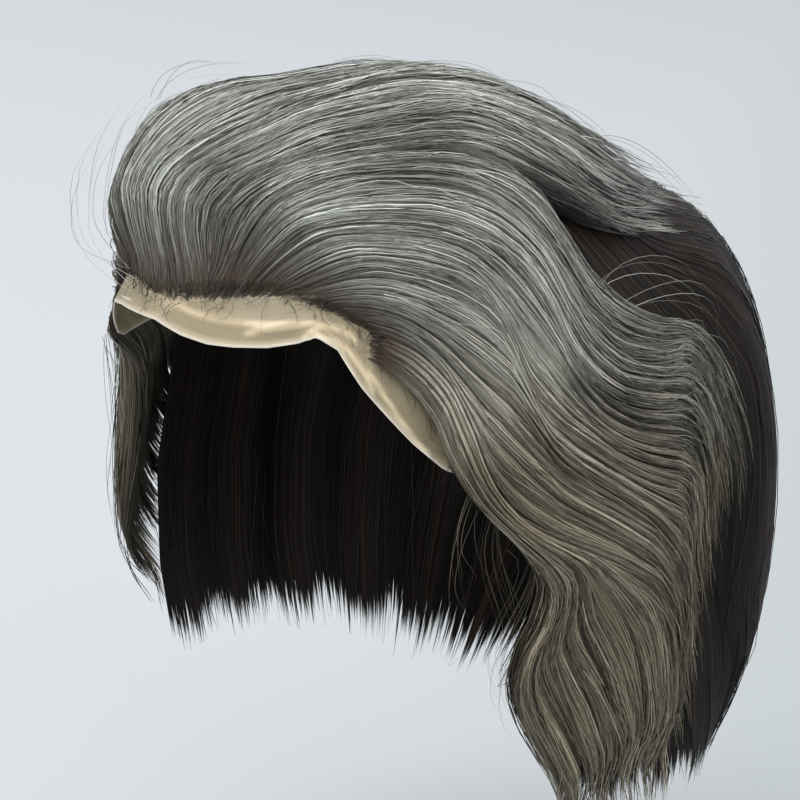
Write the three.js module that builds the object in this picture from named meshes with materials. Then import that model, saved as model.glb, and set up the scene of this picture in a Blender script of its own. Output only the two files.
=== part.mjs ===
// Grey hairpiece for a man: a clear film cap carrying long hair that is combed back in waves.
// Millimetres, +Z up. The origin is the top of the scalp. The wearer faces -Y, with their left at +X.
//
// A place on the head is given by two angles. Turn goes round the head: 0 is the middle of the
// forehead, 90 the wearer's left ear, 180 the back and -90 the right ear. Drop goes down from the
// top of the head, 0, to the head's widest level, 90, and below that down the hanging hair.
import * as THREE from 'three';

// The head that the piece is made for
const HEAD_BREADTH = 160;
const HEAD_LENGTH = 200;
const CROWN_HEIGHT = 98; // top of the scalp above the widest level
const HEAD_SETBACK = 3; // middle of the head behind the origin
const WIDEST_DROP = 90;

// Hair and cap
const HANG_LENGTH = 103; // widest level down to the lowest tips
const NAPE_TUCK_DEPTH = 34; // how far the lowest hair at the back turns in under the head
const NAPE_TURNS = [122, 170]; // the tuck grows between these turns, on both sides
const LOWEST_DROP = 150;
const FILM_WALL = 1;
const FILM_RIPPLE = 1.3; // height of the wrinkles in the film's front border
const HAIR_DEPTH = 34; // deepest hair, measured out from the scalp
const HANGING_DEPTH = 10; // thickness of locks that hang free
const BACK_HANGING_DEPTH = 12;
const LEAST_DEPTH = 1.2; // thickness of a lock at its tip
const LOCK_RELIEF = 2.2; // how far a lock stands out from the groove beside it
const SEAT_GAP = 0.85; // between a lock and the film or hair under it
const SIDE_GAP = 0.8; // from a lock's side to the line that it shares with its neighbour

// Height of the combed hair over the scalp, in percent of HAIR_DEPTH.
// A row for each drop, a column for each turn from -180 to 180.
const TURN_STEP = 30;
const DROP_STEP = 20;
const HAIR_PERCENT = [
  // -180 -150 -120 -90 -60 -30   0  30  60  90 120 150 180
  [32, 32, 32, 32, 32, 32, 32, 32, 32, 32, 32, 32, 32],
  [30, 30, 32, 34, 38, 44, 42, 40, 38, 35, 32, 30, 30],
  [41, 41, 43, 46, 56, 80, 65, 44, 44, 44, 47, 47, 41],
  [65, 60, 50, 44, 26, 38, 18, 23, 47, 56, 70, 72, 65],
  [76, 71, 58, 47, 12, 10, 6, 9, 41, 65, 86, 84, 76],
  [79, 71, 58, 50, 12, 10, 6, 9, 35, 65, 98, 92, 79],
  [72, 65, 56, 53, 14, 10, 6, 9, 35, 71, 100, 82, 72],
  [55, 53, 52, 53, 18, 10, 6, 9, 41, 76, 82, 62, 55],
  [44, 44, 44, 47, 20, 10, 6, 9, 41, 66, 60, 48, 44],
];

// The film's edge: turn, drop. Two lobes before the forehead meet in a notch near turn 20.
const FILM_EDGE = [
  [-180, 83], [-150, 82], [-120, 79], [-90, 76], [-62, 79], [-54, 73.5], [-45, 67.5],
  [-29, 65.2], [-13, 64.3], [-5, 65], [1, 65], [6, 64.3], [12, 63], [17, 61.2], [20, 59.8],
  [24, 61], [29, 66], [34, 70], [39, 74], [45, 78], [49, 79], [60, 79], [90, 76], [120, 79],
  [150, 82], [180, 83],
];
const FILM_TURNS = { sides: 12, front: 4, frontEdge: 60 }; // degrees between columns of the film
const FILM_ROWS = [0.22, 0.42, 0.6, 0.74, 0.83, 0.9, 0.95, 1]; // share of the way to the edge
const RIPPLE_START = 0.83;
const RIPPLES = { turn: 23, spread: 24, pitch: 9 }; // middle, reach and spacing, in degrees

// Lines that the combed hair follows, from the hairline to the tips: turn, drop.
const LINES = {
  templeEdge: [
    [31, 62], [37, 65], [42, 70], [45.5, 76.5], [50, 82.5], [55, 87], [59, 90.5], [63, 94], [66, 99],
    [65.5, 104], [63, 109], [62, 115], [64, 121], [68, 127], [73, 134], [78, 142], [83, 149],
  ],
  templeTop: [
    [31, 57.5], [38, 59.5], [44, 64.5], [48.5, 72], [52, 79], [57, 84.5], [64, 88.5], [73, 92], [81, 96],
    [88, 101], [92, 108], [94, 116], [98, 125], [103, 134], [108, 143],
  ],
  lowerTop: [
    [13, 54], [18, 51.5], [25, 49.5], [34, 48.5], [44, 49.5], [51, 53], [54.5, 59], [57.5, 65.5],
    [63, 70.5], [69, 74], [75, 77.5], [82, 80.5], [90, 83.5], [96, 89], [101, 96.5], [104.5, 105],
  ],
  middleTop: [
    [4, 55.5], [6, 52], [11, 48.5], [20, 44.5], [32, 41.5], [44, 41], [53, 43.5], [59, 48], [62.5, 53.5],
    [65, 59.5], [69.5, 64.5], [75.5, 68], [83, 70], [91, 71.5], [98, 75], [103.5, 81.5], [106, 89],
  ],
  upperMid: [
    [1, 56], [2.5, 51], [8, 46], [17, 40], [27, 36], [38, 34], [49, 34], [58, 36.5], [64, 40.5],
    [67.5, 46.5], [70.5, 53], [77, 58.5], [87, 61], [97, 62], [103.5, 66.5], [107.5, 73.5], [109.5, 81],
  ],
  partLeft: [
    [-2, 57], [0, 50.5], [7, 43.5], [19, 36], [29, 31.8], [40, 29.3], [51, 28.8], [61, 30.2], [67.5, 33.5],
    [70.5, 39], [73.5, 45.5], [79, 51], [87.5, 55.5], [98, 58], [106, 61], [111, 67], [113, 74.5],
  ],
  partRight: [
    [-3, 57], [-1.2, 50], [5.5, 42.6], [18, 34.8], [28, 30.4], [39, 27.6], [51, 27], [62, 28.6],
    [71, 31.4], [78.5, 34.2], [86, 37], [94, 39.4], [102, 41.4], [109, 43.5],
  ],
  crownMid: [
    [-4, 57.5], [-7, 51], [-5, 45.5], [3, 39.5], [8.5, 33], [19, 26.5], [35, 21], [53, 18.5], [70, 20.5],
    [83, 26], [93, 31], [102, 34.8], [110.5, 37.5], [117.5, 39.5],
  ],
  quiffMid: [
    [-9, 58.8], [-12.5, 52], [-11.5, 46.5], [-6, 41.5], [0, 35.5], [3, 28], [10, 20], [28, 13.5], [62, 12],
    [96, 17], [116, 25], [127, 33], [134, 41.5],
  ],
  quiffRight: [
    [-17, 60.6], [-21, 53], [-21.5, 47.5], [-17.5, 42], [-14, 35.5], [-15.5, 27], [-18, 19], [-24, 10],
    [-100, 4], [-167, 11], [-178, 21], [178, 31], [172, 42],
  ],
  topRight: [
    [-31, 60], [-36, 54], [-40, 47.5], [-43, 41], [-50, 35], [-61, 30], [-77, 26], [-97, 26], [-117, 30],
    [-132, 38],
  ],
  farMid: [
    [-44, 61.5], [-51, 58.5], [-59, 56.5], [-68, 56], [-77, 57.5], [-87, 60], [-97, 61], [-108, 62],
  ],
  farFallTop: [
    [-53, 68], [-60, 70.5], [-68, 73], [-76, 76.5], [-83, 81], [-88, 87], [-93, 94], [-99, 102],
  ],
  farEdge: [
    [-58, 77], [-64, 80.5], [-70, 84], [-76, 89], [-79, 96], [-80, 104], [-81, 113], [-84, 122], [-88, 132],
    [-94, 142],
  ],
};

// Bodies of combed hair: name, the lines they lie between, locks, sections along them, colour.
const MASSES = [
  ['crown_locks', ['partRight', 'crownMid'], 6, 16, 0x9b9a94],
  ['quiff_locks', ['crownMid', 'quiffMid', 'quiffRight'], 8, 17, 0xa3a5a0],
  ['top_locks', ['quiffRight', 'topRight'], 7, 14, 0x94948e],
  ['upper_sweep', ['middleTop', 'upperMid', 'partLeft'], 8, 19, 0xa9aaa6],
  ['middle_sweep', ['lowerTop', 'middleTop'], 6, 17, 0x9a9a93],
  ['lower_sweep', ['templeTop', 'lowerTop'], 8, 17, 0x8f8c82],
  ['temple_fall', ['templeEdge', 'templeTop'], 6, 17, 0x837d72],
  ['far_side_sweep', ['topRight', 'farMid', 'farFallTop'], 8, 14, 0x8f8d86],
  ['far_side_fall', ['farFallTop', 'farEdge'], 4, 11, 0x837d72],
];
const LOCK_PROFILE = [0, 0.9, 1]; // a lock's height at each third of its width
const LOCK_VARIATION = 0.3; // how much the locks' widths differ
const TIP_NOTCH = 0.07; // how far the grooves stop short of the tips, as a share of the length
const NOTCH_REACH = 1.5; // the notches shorten with the width of a lock at the tips
const ROOT_RAMP = 0.09; // share of the length in which hair rises from the hairline
const ROOT_SHARE = 0.07; // share of its height that it has at the hairline
const TIP_RAMP = 0.3; // share of the length in which locks thin out
const TIP_SHARE = 0.15; // share of its height that is left at the tips
const HANG_DROPS = [80, 100]; // locks leave the head between these drops
const SMALL_STEP = 0.01; // share of a line's length, to find its direction
const LEAST_SLANT = 0.3; // sine of the flattest angle at which sections cross a side line
const WIDEST_INSET = 0.25; // most of a body's width that its side gap may take

// The dark back hair: its front edge at each drop, as a turn on the left and on the right side.
const BACK_EDGE = [
  // drop, left, right
  [24, 58, -102], [34, 58, -98], [46, 66, -94], [58, 78, -92], [72, 84, -90], [90, 84, -88],
  [110, 84, -86], [130, 90, -90], [150, 98, -98],
];
const BACK_COLUMNS = 24;
const BACK_DROPS = [24, 28, 32, 36, 41, 48, 55, 64, 76, 88, 100, 113, 126, 138, LOWEST_DROP];
const BACK_EDGE_RAMP = 22; // degrees in which the dark hair rises from its edge
const EDGE_CLEARANCE = [-10, -3]; // degrees before the edge in which what lies over it rises clear
const UNDERLAY = 0.45; // its height under the grey locks, as a share of theirs
const TIP_TURNS = [104, 126]; // the side locks end between these turns
const TIP_DROPS = [41, 55]; // the crown's locks end between these drops
const BACK_RELIEF = 1.6; // depth of the grooves in the dark hair
const BACK_NOTCH = 5; // how far its grooves stop short of its tips, in degrees of drop

const clampShare = (value) => Math.min(Math.max(value, 0), 1);

function smooth(value, low, high) {
  const share = clampShare((value - low) / (high - low));
  return share * share * (3 - 2 * share);
}

// The value at a place between rows of a table whose first column is the place.
function between(rows, place, column) {
  const next = rows.findIndex((row) => row[0] >= place);
  if (next === 0) return rows[0][column];
  if (next < 0) return rows[rows.length - 1][column];
  const [before, after] = [rows[next - 1], rows[next]];
  const share = (place - before[0]) / (after[0] - before[0]);
  return before[column] + share * (after[column] - before[column]);
}

// Point at a height over the scalp.
function onHead(turn, drop, lift) {
  const around = THREE.MathUtils.degToRad(turn);
  const down = THREE.MathUtils.degToRad(Math.min(drop, WIDEST_DROP));
  const way = new THREE.Vector3(
    Math.sin(down) * Math.sin(around),
    -Math.sin(down) * Math.cos(around),
    Math.cos(down),
  );
  const reach = 1 / Math.hypot(way.x * 2 / HEAD_BREADTH, way.y * 2 / HEAD_LENGTH, way.z / CROWN_HEIGHT);
  const hang = Math.max(drop - WIDEST_DROP, 0) / (LOWEST_DROP - WIDEST_DROP);
  const tuck = NAPE_TUCK_DEPTH * hang * hang * smooth(Math.abs(turn), ...NAPE_TURNS);
  return way
    .multiplyScalar(reach + lift - tuck)
    .add(new THREE.Vector3(0, HEAD_SETBACK, -CROWN_HEIGHT - hang * HANG_LENGTH));
}

// A flat map of the head: the top is its middle, and the drop is the distance from it.
function toMap(turn, drop) {
  const around = THREE.MathUtils.degToRad(turn);
  return new THREE.Vector3(drop * Math.sin(around), -drop * Math.cos(around), 0);
}

function fromMap(place) {
  return [THREE.MathUtils.radToDeg(Math.atan2(place.x, -place.y)), Math.hypot(place.x, place.y)];
}

// Smooth curve through four values, at a share of the way from the second to the third.
function curve(a, b, c, d, share) {
  const slopeIn = (c - a) / 2;
  const slopeOut = (d - b) / 2;
  const s2 = share * share;
  const s3 = s2 * share;
  return b * (2 * s3 - 3 * s2 + 1) + slopeIn * (s3 - 2 * s2 + share) + c * (3 * s2 - 2 * s3)
    + slopeOut * (s3 - s2);
}

// Height of the combed hair over the scalp, from the table.
function hairHeight(turn, drop) {
  const columns = HAIR_PERCENT[0].length - 1;
  const lastRow = HAIR_PERCENT.length - 1;
  const x = (turn + 180) / TURN_STEP;
  const y = clampShare(drop / (DROP_STEP * lastRow)) * lastRow;
  const column = Math.floor(x);
  const row = Math.min(Math.floor(y), lastRow - 1);
  const inRow = (r) => {
    const values = HAIR_PERCENT[Math.min(Math.max(r, 0), lastRow)];
    const value = (c) => values[((c % columns) + columns) % columns];
    return curve(value(column - 1), value(column), value(column + 1), value(column + 2), x - column);
  };
  return HAIR_DEPTH / 100 * curve(inRow(row - 1), inRow(row), inRow(row + 1), inRow(row + 2), y - row);
}

// Turn counted from the wearer's left round the back, so that it runs on past 180.
const roundBack = (turn) => (turn < 0 ? turn + 360 : turn);

// Top of the film, or of the dark back hair where that lies over it.
function underHeight(turn, drop) {
  const around = roundBack(turn);
  const left = between(BACK_EDGE, drop, 1);
  const right = roundBack(between(BACK_EDGE, drop, 2));
  const before = turn > -30 && turn < left ? turn - left : around - left;
  const spread = Math.sin(THREE.MathUtils.degToRad(Math.min(drop, WIDEST_DROP)));
  const inside = Math.min(before * spread, (right - around) * spread, drop - BACK_DROPS[0]);
  const least = FILM_WALL + SEAT_GAP + LEAST_DEPTH;
  if (inside < 0) return FILM_WALL + (least - FILM_WALL) * smooth(inside, ...EDGE_CLEARANCE);
  const fromFront = 180 - Math.abs(around - 180);
  const open = smooth(fromFront, ...TIP_TURNS) * smooth(drop, ...TIP_DROPS);
  const full = hairHeight(turn, drop) * (UNDERLAY + (1 - UNDERLAY) * open);
  return least + Math.max(full - least, 0) * smooth(inside, 0, BACK_EDGE_RAMP);
}

// A closed body from sections of equally many points. Each section is an outer row, from one side
// to the other, and an inner row in the same order.
function solidFromSections(outer, inner) {
  const positions = [];
  const faces = [];
  const put = (rows) => rows.map((row) => row.map((point) => positions.push(...point.toArray()) / 3 - 1));
  const [top, under] = [put(outer), put(inner)];
  const quad = (a, b, c, d) => faces.push([a, b, c], [a, c, d]);
  const skin = (rows, flip) => {
    for (let i = 0; i + 1 < rows.length; i += 1) {
      for (let j = 0; j + 1 < rows[i].length; j += 1) {
        const corners = [rows[i][j], rows[i + 1][j], rows[i + 1][j + 1], rows[i][j + 1]];
        quad(...(flip ? corners.reverse() : corners));
      }
    }
  };
  skin(top, false);
  skin(under, true);
  // Joins two rows that have different numbers of points, by always taking the shorter step.
  const zip = (above, below, flip) => {
    const face = (a, b, c) => faces.push(flip ? [a, c, b] : [a, b, c]);
    const [lastAbove, lastBelow] = [above.length - 1, below.length - 1];
    let [i, j] = [0, 0];
    while (i < lastAbove || j < lastBelow) {
      if (j === lastBelow || (i < lastAbove && (i + 1) / lastAbove <= (j + 1) / lastBelow)) {
        face(above[i], above[i + 1], below[j]);
        i += 1;
      } else {
        face(above[i], below[j + 1], below[j]);
        j += 1;
      }
    }
  };
  const last = top.length - 1;
  zip(top[0], under[0], false);
  zip(top[last], under[last], true);
  for (let i = 0; i < last; i += 1) {
    quad(top[i][0], under[i][0], under[i + 1][0], top[i + 1][0]);
    quad(top[i + 1].at(-1), under[i + 1].at(-1), under[i].at(-1), top[i].at(-1));
  }
  return outwardGeometry(positions, faces);
}

// Geometry whose faces point out, whichever way round they were listed.
function outwardGeometry(positions, faces) {
  const point = (i) => new THREE.Vector3().fromArray(positions, i * 3);
  const volume = faces.reduce((sum, [a, b, c]) => sum + point(a).dot(point(b).cross(point(c))), 0);
  const geometry = new THREE.BufferGeometry();
  geometry.setAttribute('position', new THREE.Float32BufferAttribute(positions, 3));
  geometry.setIndex(faces.flatMap(([a, b, c]) => (volume < 0 ? [a, c, b] : [a, b, c])));
  geometry.computeVertexNormals();
  return geometry;
}

// A fan from one point to a ring closes a dome over its top.
function dome(tip, rows) {
  const positions = [...tip.toArray(), ...rows.flat().flatMap((point) => point.toArray())];
  const count = rows[0].length;
  const index = (i, j) => 1 + i * count + (j % count);
  const faces = [];
  for (let j = 0; j < count; j += 1) {
    faces.push([0, index(0, j), index(0, j + 1)]);
    for (let i = 0; i + 1 < rows.length; i += 1) {
      faces.push([index(i, j), index(i + 1, j), index(i + 1, j + 1)]);
      faces.push([index(i, j), index(i + 1, j + 1), index(i, j + 1)]);
    }
  }
  return { positions, faces, rim: Array.from({ length: count }, (_, j) => index(rows.length - 1, j)) };
}

function skinBase() {
  const turns = [];
  for (let turn = -180; turn < 180;) {
    turns.push(turn);
    const front = turn >= -FILM_TURNS.frontEdge - 0.001 && turn < FILM_TURNS.frontEdge;
    turn += front ? FILM_TURNS.front : FILM_TURNS.sides;
  }
  const ripple = (turn, share) => {
    const reach = 1 - smooth(Math.abs(turn - RIPPLES.turn), 0, RIPPLES.spread);
    const wave = 0.5 + 0.5 * Math.cos((turn - RIPPLES.turn) * 2 * Math.PI / RIPPLES.pitch);
    return FILM_RIPPLE * reach * wave * smooth(share, RIPPLE_START, 1);
  };
  const side = (wall) => dome(
    onHead(0, 0, wall),
    FILM_ROWS.map((share) => turns.map((turn) => (
      onHead(turn, between(FILM_EDGE, turn, 1) * share, wall + ripple(turn, share))))),
  );
  const [outer, inner] = [side(FILM_WALL), side(0)];
  const shift = outer.positions.length / 3;
  const faces = [...outer.faces, ...inner.faces.map(([a, b, c]) => [a + shift, c + shift, b + shift])];
  outer.rim.forEach((a, j) => {
    const b = outer.rim[(j + 1) % outer.rim.length];
    faces.push([a, a + shift, b + shift], [a, b + shift, b]);
  });
  return outwardGeometry([...outer.positions, ...inner.positions], faces);
}

// Shares of a body's width at which its surface is sampled, with the height of the lock there.
function lockSamples(locks) {
  const widths = Array.from({ length: locks }, (_, i) => 1 + LOCK_VARIATION * Math.sin(2.4 * i + 1));
  const whole = widths.reduce((sum, width) => sum + width, 0);
  const samples = [];
  let start = 0;
  for (const width of widths) {
    LOCK_PROFILE.forEach((height, i) => {
      samples.push({ across: (start + width * i / LOCK_PROFILE.length) / whole, height });
    });
    start += width;
  }
  samples.push({ across: 1, height: 0 });
  return samples;
}

function lockMass(lines, locks, sections) {
  const curves = lines.map((name) => (
    new THREE.CatmullRomCurve3(LINES[name].map(([turn, drop]) => toMap(turn, drop)), false, 'centripetal')));
  const onScalp = (point) => onHead(...fromMap(point), 0);
  const widthAt = (along) => (
    onScalp(curves.at(-1).getPointAt(along)).sub(onScalp(curves[0].getPointAt(along))));
  // Sine of the angle at which a section crosses a line.
  const slant = (line, along) => {
    const ahead = onScalp(line.getPointAt(Math.min(along + SMALL_STEP, 1)));
    const way = ahead.sub(onScalp(line.getPointAt(Math.max(along - SMALL_STEP, 0)))).normalize();
    return way.cross(widthAt(along).normalize()).length();
  };
  // Share of the width that keeps a body's side clear of the line that it shares.
  const inset = (line, along) => {
    const square = Math.max(slant(line, along), LEAST_SLANT);
    return Math.min(SIDE_GAP / (widthAt(along).length() * square), WIDEST_INSET);
  };
  // Turn and drop at a share of the length and of the width.
  const place = (along, across) => {
    const points = curves.map((line) => line.getPointAt(along));
    const [first, last] = [inset(curves[0], along), inset(curves.at(-1), along)];
    const scaled = (first + across * (1 - first - last)) * (points.length - 1);
    const from = Math.min(Math.floor(scaled), points.length - 2);
    return fromMap(points[from].clone().lerp(points[from + 1], scaled - from));
  };
  const seat = (turn, drop) => underHeight(turn, drop) + SEAT_GAP;
  const samples = lockSamples(locks);
  // Outer row and inner row of one section. The inner row has points in the grooves alone.
  const section = (share) => {
    const rise = ROOT_SHARE + (1 - ROOT_SHARE) * smooth(share, 0, ROOT_RAMP);
    const thin = 1 - (1 - TIP_SHARE) * smooth(share, 1 - TIP_RAMP, 1);
    const square = Math.min(slant(curves[0], share), slant(curves.at(-1), share));
    const notch = Math.min(TIP_NOTCH, NOTCH_REACH * widthAt(share).length() * square / locks / HEAD_LENGTH);
    const spots = samples.map(({ across, height }) => {
      const along = share * (1 - notch * (1 - height) * share * share);
      const [turn, drop] = place(along, across);
      return { turn, drop, height, low: seat(turn, drop) };
    });
    const inGroove = (i) => i % LOCK_PROFILE.length === 0;
    // Height of the straight inner face between two grooves.
    const chord = (i) => {
      const step = i % LOCK_PROFILE.length;
      if (step === 0) return spots[i].low;
      const [before, after] = [spots[i - step].low, spots[i - step + LOCK_PROFILE.length].low];
      return before + (after - before) * step / LOCK_PROFILE.length;
    };
    const tops = spots.map(({ turn, drop, height, low }, i) => {
      const base = Math.max(low, chord(i)) + LEAST_DEPTH;
      const spare = Math.max(hairHeight(turn, drop) - base - LOCK_RELIEF, 0);
      return base + spare * rise * thin + LOCK_RELIEF * height * Math.min(rise, thin);
    });
    const lift = ({ drop, low }, top) => (
      low + smooth(drop, ...HANG_DROPS) * Math.max(top - low - HANGING_DEPTH, 0));
    return [
      spots.map(({ turn, drop }, i) => onHead(turn, drop, tops[i])),
      spots.map((spot, i) => onHead(spot.turn, spot.drop, lift(spot, tops[i]))).filter((_, i) => inGroove(i)),
    ];
  };
  const all = Array.from({ length: sections + 1 }, (_, i) => section(i / sections));
  return solidFromSections(all.map(([outer]) => outer), all.map(([, inner]) => inner));
}

function backHair() {
  const row = (rowDrop, inner) => {
    const left = between(BACK_EDGE, rowDrop, 1);
    const right = roundBack(between(BACK_EDGE, rowDrop, 2));
    return Array.from({ length: BACK_COLUMNS + 1 }, (_, j) => {
      const around = left + (right - left) * j / BACK_COLUMNS;
      const turn = around > 180 ? around - 360 : around;
      const grooved = j % 2 === 0 ? 1 : 0;
      const drop = rowDrop - grooved * BACK_NOTCH * smooth(rowDrop, WIDEST_DROP, LOWEST_DROP);
      const low = FILM_WALL + SEAT_GAP;
      const full = underHeight(turn, drop);
      const groove = grooved * BACK_RELIEF * smooth(drop, TIP_DROPS[1], WIDEST_DROP);
      const top = Math.max(full - groove, low + LEAST_DEPTH);
      const under = low + smooth(drop, ...HANG_DROPS) * Math.max(top - low - BACK_HANGING_DEPTH, 0);
      return onHead(turn, drop, inner ? under : top);
    });
  };
  const rows = (inner) => BACK_DROPS.map((drop) => row(drop, inner));
  return solidFromSections(rows(false), rows(true));
}

function mesh(name, geometry, settings) {
  const made = new THREE.Mesh(geometry, new THREE.MeshStandardMaterial(settings));
  made.name = name;
  return made;
}

const hairpiece = new THREE.Group();
hairpiece.add(mesh('skin_base', skinBase(), { color: 0xe6dcc4, roughness: 0.35, metalness: 0 }));
hairpiece.add(mesh('back_hair', backHair(), { color: 0x2a211c, roughness: 0.6, metalness: 0 }));
for (const [name, lines, locks, sections, color] of MASSES) {
  hairpiece.add(mesh(name, lockMass(lines, locks, sections), { color, roughness: 0.5, metalness: 0 }));
}

export default hairpiece;
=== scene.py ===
"""Looks of the grey hairpiece: single hairs combed in waves over a clear film cap, and the stage."""
import math

import bpy
import numpy as np
from mathutils import Matrix, Vector


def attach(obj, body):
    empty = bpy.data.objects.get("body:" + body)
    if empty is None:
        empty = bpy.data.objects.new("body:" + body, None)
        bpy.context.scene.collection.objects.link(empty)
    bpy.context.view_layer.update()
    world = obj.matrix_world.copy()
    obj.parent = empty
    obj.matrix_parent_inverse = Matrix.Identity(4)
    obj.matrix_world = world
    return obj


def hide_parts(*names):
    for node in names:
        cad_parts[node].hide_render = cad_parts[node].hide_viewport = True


bl_info = {
    "name": "Grey hairpiece",
    "version": (1, 0, 0),
    "blender": (4, 5, 0),
    "location": "3D View > Sidebar > Hairpiece",
    "description": "Builds the hairs, film cap and stage of a grey hairpiece",
    "category": "Object",
}

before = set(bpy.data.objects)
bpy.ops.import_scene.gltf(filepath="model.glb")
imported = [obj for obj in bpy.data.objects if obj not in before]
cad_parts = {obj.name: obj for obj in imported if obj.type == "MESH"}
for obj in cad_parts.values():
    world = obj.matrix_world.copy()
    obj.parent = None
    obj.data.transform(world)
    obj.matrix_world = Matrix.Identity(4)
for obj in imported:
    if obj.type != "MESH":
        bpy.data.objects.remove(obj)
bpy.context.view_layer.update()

# Sizes below are millimetres and become metres when a mesh is made. A place on the scalp is given by
# turn, round it from the middle of the front (its own left side is +90), and drop, down from its top.
SCALP = np.array([80.0, 100.0, 98.0])
SCALP_MIDDLE = np.array([0.0, 3.0, -98.0])
WIDEST_DROP = 90.0
LOWEST_DROP = 150.0
HANG_LENGTH = 103.0
NAPE_TUCK = 34.0
NAPE_TURNS = (122, 170)
HAIR_DEPTH = 34.0
FILM_WALL = 1.0
SEAT_GAP = 0.85  # between a body of hair and what it lies on
LEAST_DEPTH = 1.2
LOCK_RELIEF = 2.2  # how far a lock stands over the grooves beside it
HANGING_DEPTH = 10.0
BACK_HANGING_DEPTH = 12.0
HANG_DROPS = (80, 100)
# Each body of hair rises over the ramp at its roots and thins out over the one at its tips.
ROOT_RAMP = 0.12
ROOT_SHARE = 0.07
TIP_RAMP = 0.3
TIP_SHARE = 0.15

# Height of the combed hair, in percent of HAIR_DEPTH: a row for each 20 of drop from 0, a column
# for each 30 of turn from -180 to 180.
HAIR_PERCENT = np.array([
    [32, 32, 32, 32, 32, 32, 32, 32, 32, 32, 32, 32, 32],
    [30, 30, 32, 34, 38, 44, 42, 40, 38, 35, 32, 30, 30],
    [41, 41, 43, 46, 56, 80, 65, 44, 44, 44, 47, 47, 41],
    [65, 60, 50, 44, 26, 38, 18, 23, 47, 56, 70, 72, 65],
    [76, 71, 58, 47, 12, 10, 6, 9, 41, 65, 86, 84, 76],
    [79, 71, 58, 50, 12, 10, 6, 9, 35, 65, 98, 92, 79],
    [72, 65, 56, 53, 14, 10, 6, 9, 35, 71, 100, 82, 72],
    [55, 53, 52, 53, 18, 10, 6, 9, 41, 76, 82, 62, 55],
    [44, 44, 44, 47, 20, 10, 6, 9, 41, 66, 60, 48, 44],
], float)

FILM_EDGE = np.array([
    [-180, 83], [-150, 82], [-120, 79], [-90, 76], [-62, 79], [-54, 73.5], [-45, 67.5],
    [-29, 65.2], [-13, 64.3], [-5, 65], [1, 65], [6, 64.3], [12, 63], [17, 61.2], [20, 59.8],
    [24, 61], [29, 66], [34, 70], [39, 74], [45, 78], [49, 79], [60, 79], [90, 76], [120, 79],
    [150, 82], [180, 83],
], float)

# Folds of the film's loose front border: rows of turn and drop, height, width.
FILM_FOLDS = (
    ([[-20, 60.5], [-10, 61], [0, 60.8], [9, 59.8], [15, 58.6]], 0.5, 0.8),
    ([[8, 61.6], [13, 59.4], [18, 58], [23, 57.8]], 1.2, 1.0),
    ([[18, 60], [20.5, 58], [24, 57.8], [27, 59]], 1.2, 0.9),
    ([[20, 59.6], [24, 60], [28, 62.5], [31, 66]], 1.3, 1.0),
    ([[22, 60.8], [25, 62.6], [27.5, 64.8]], 1.1, 0.8),
    ([[29.5, 63], [33, 66.6], [37, 71], [42, 76]], 0.8, 0.9),
)

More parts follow.
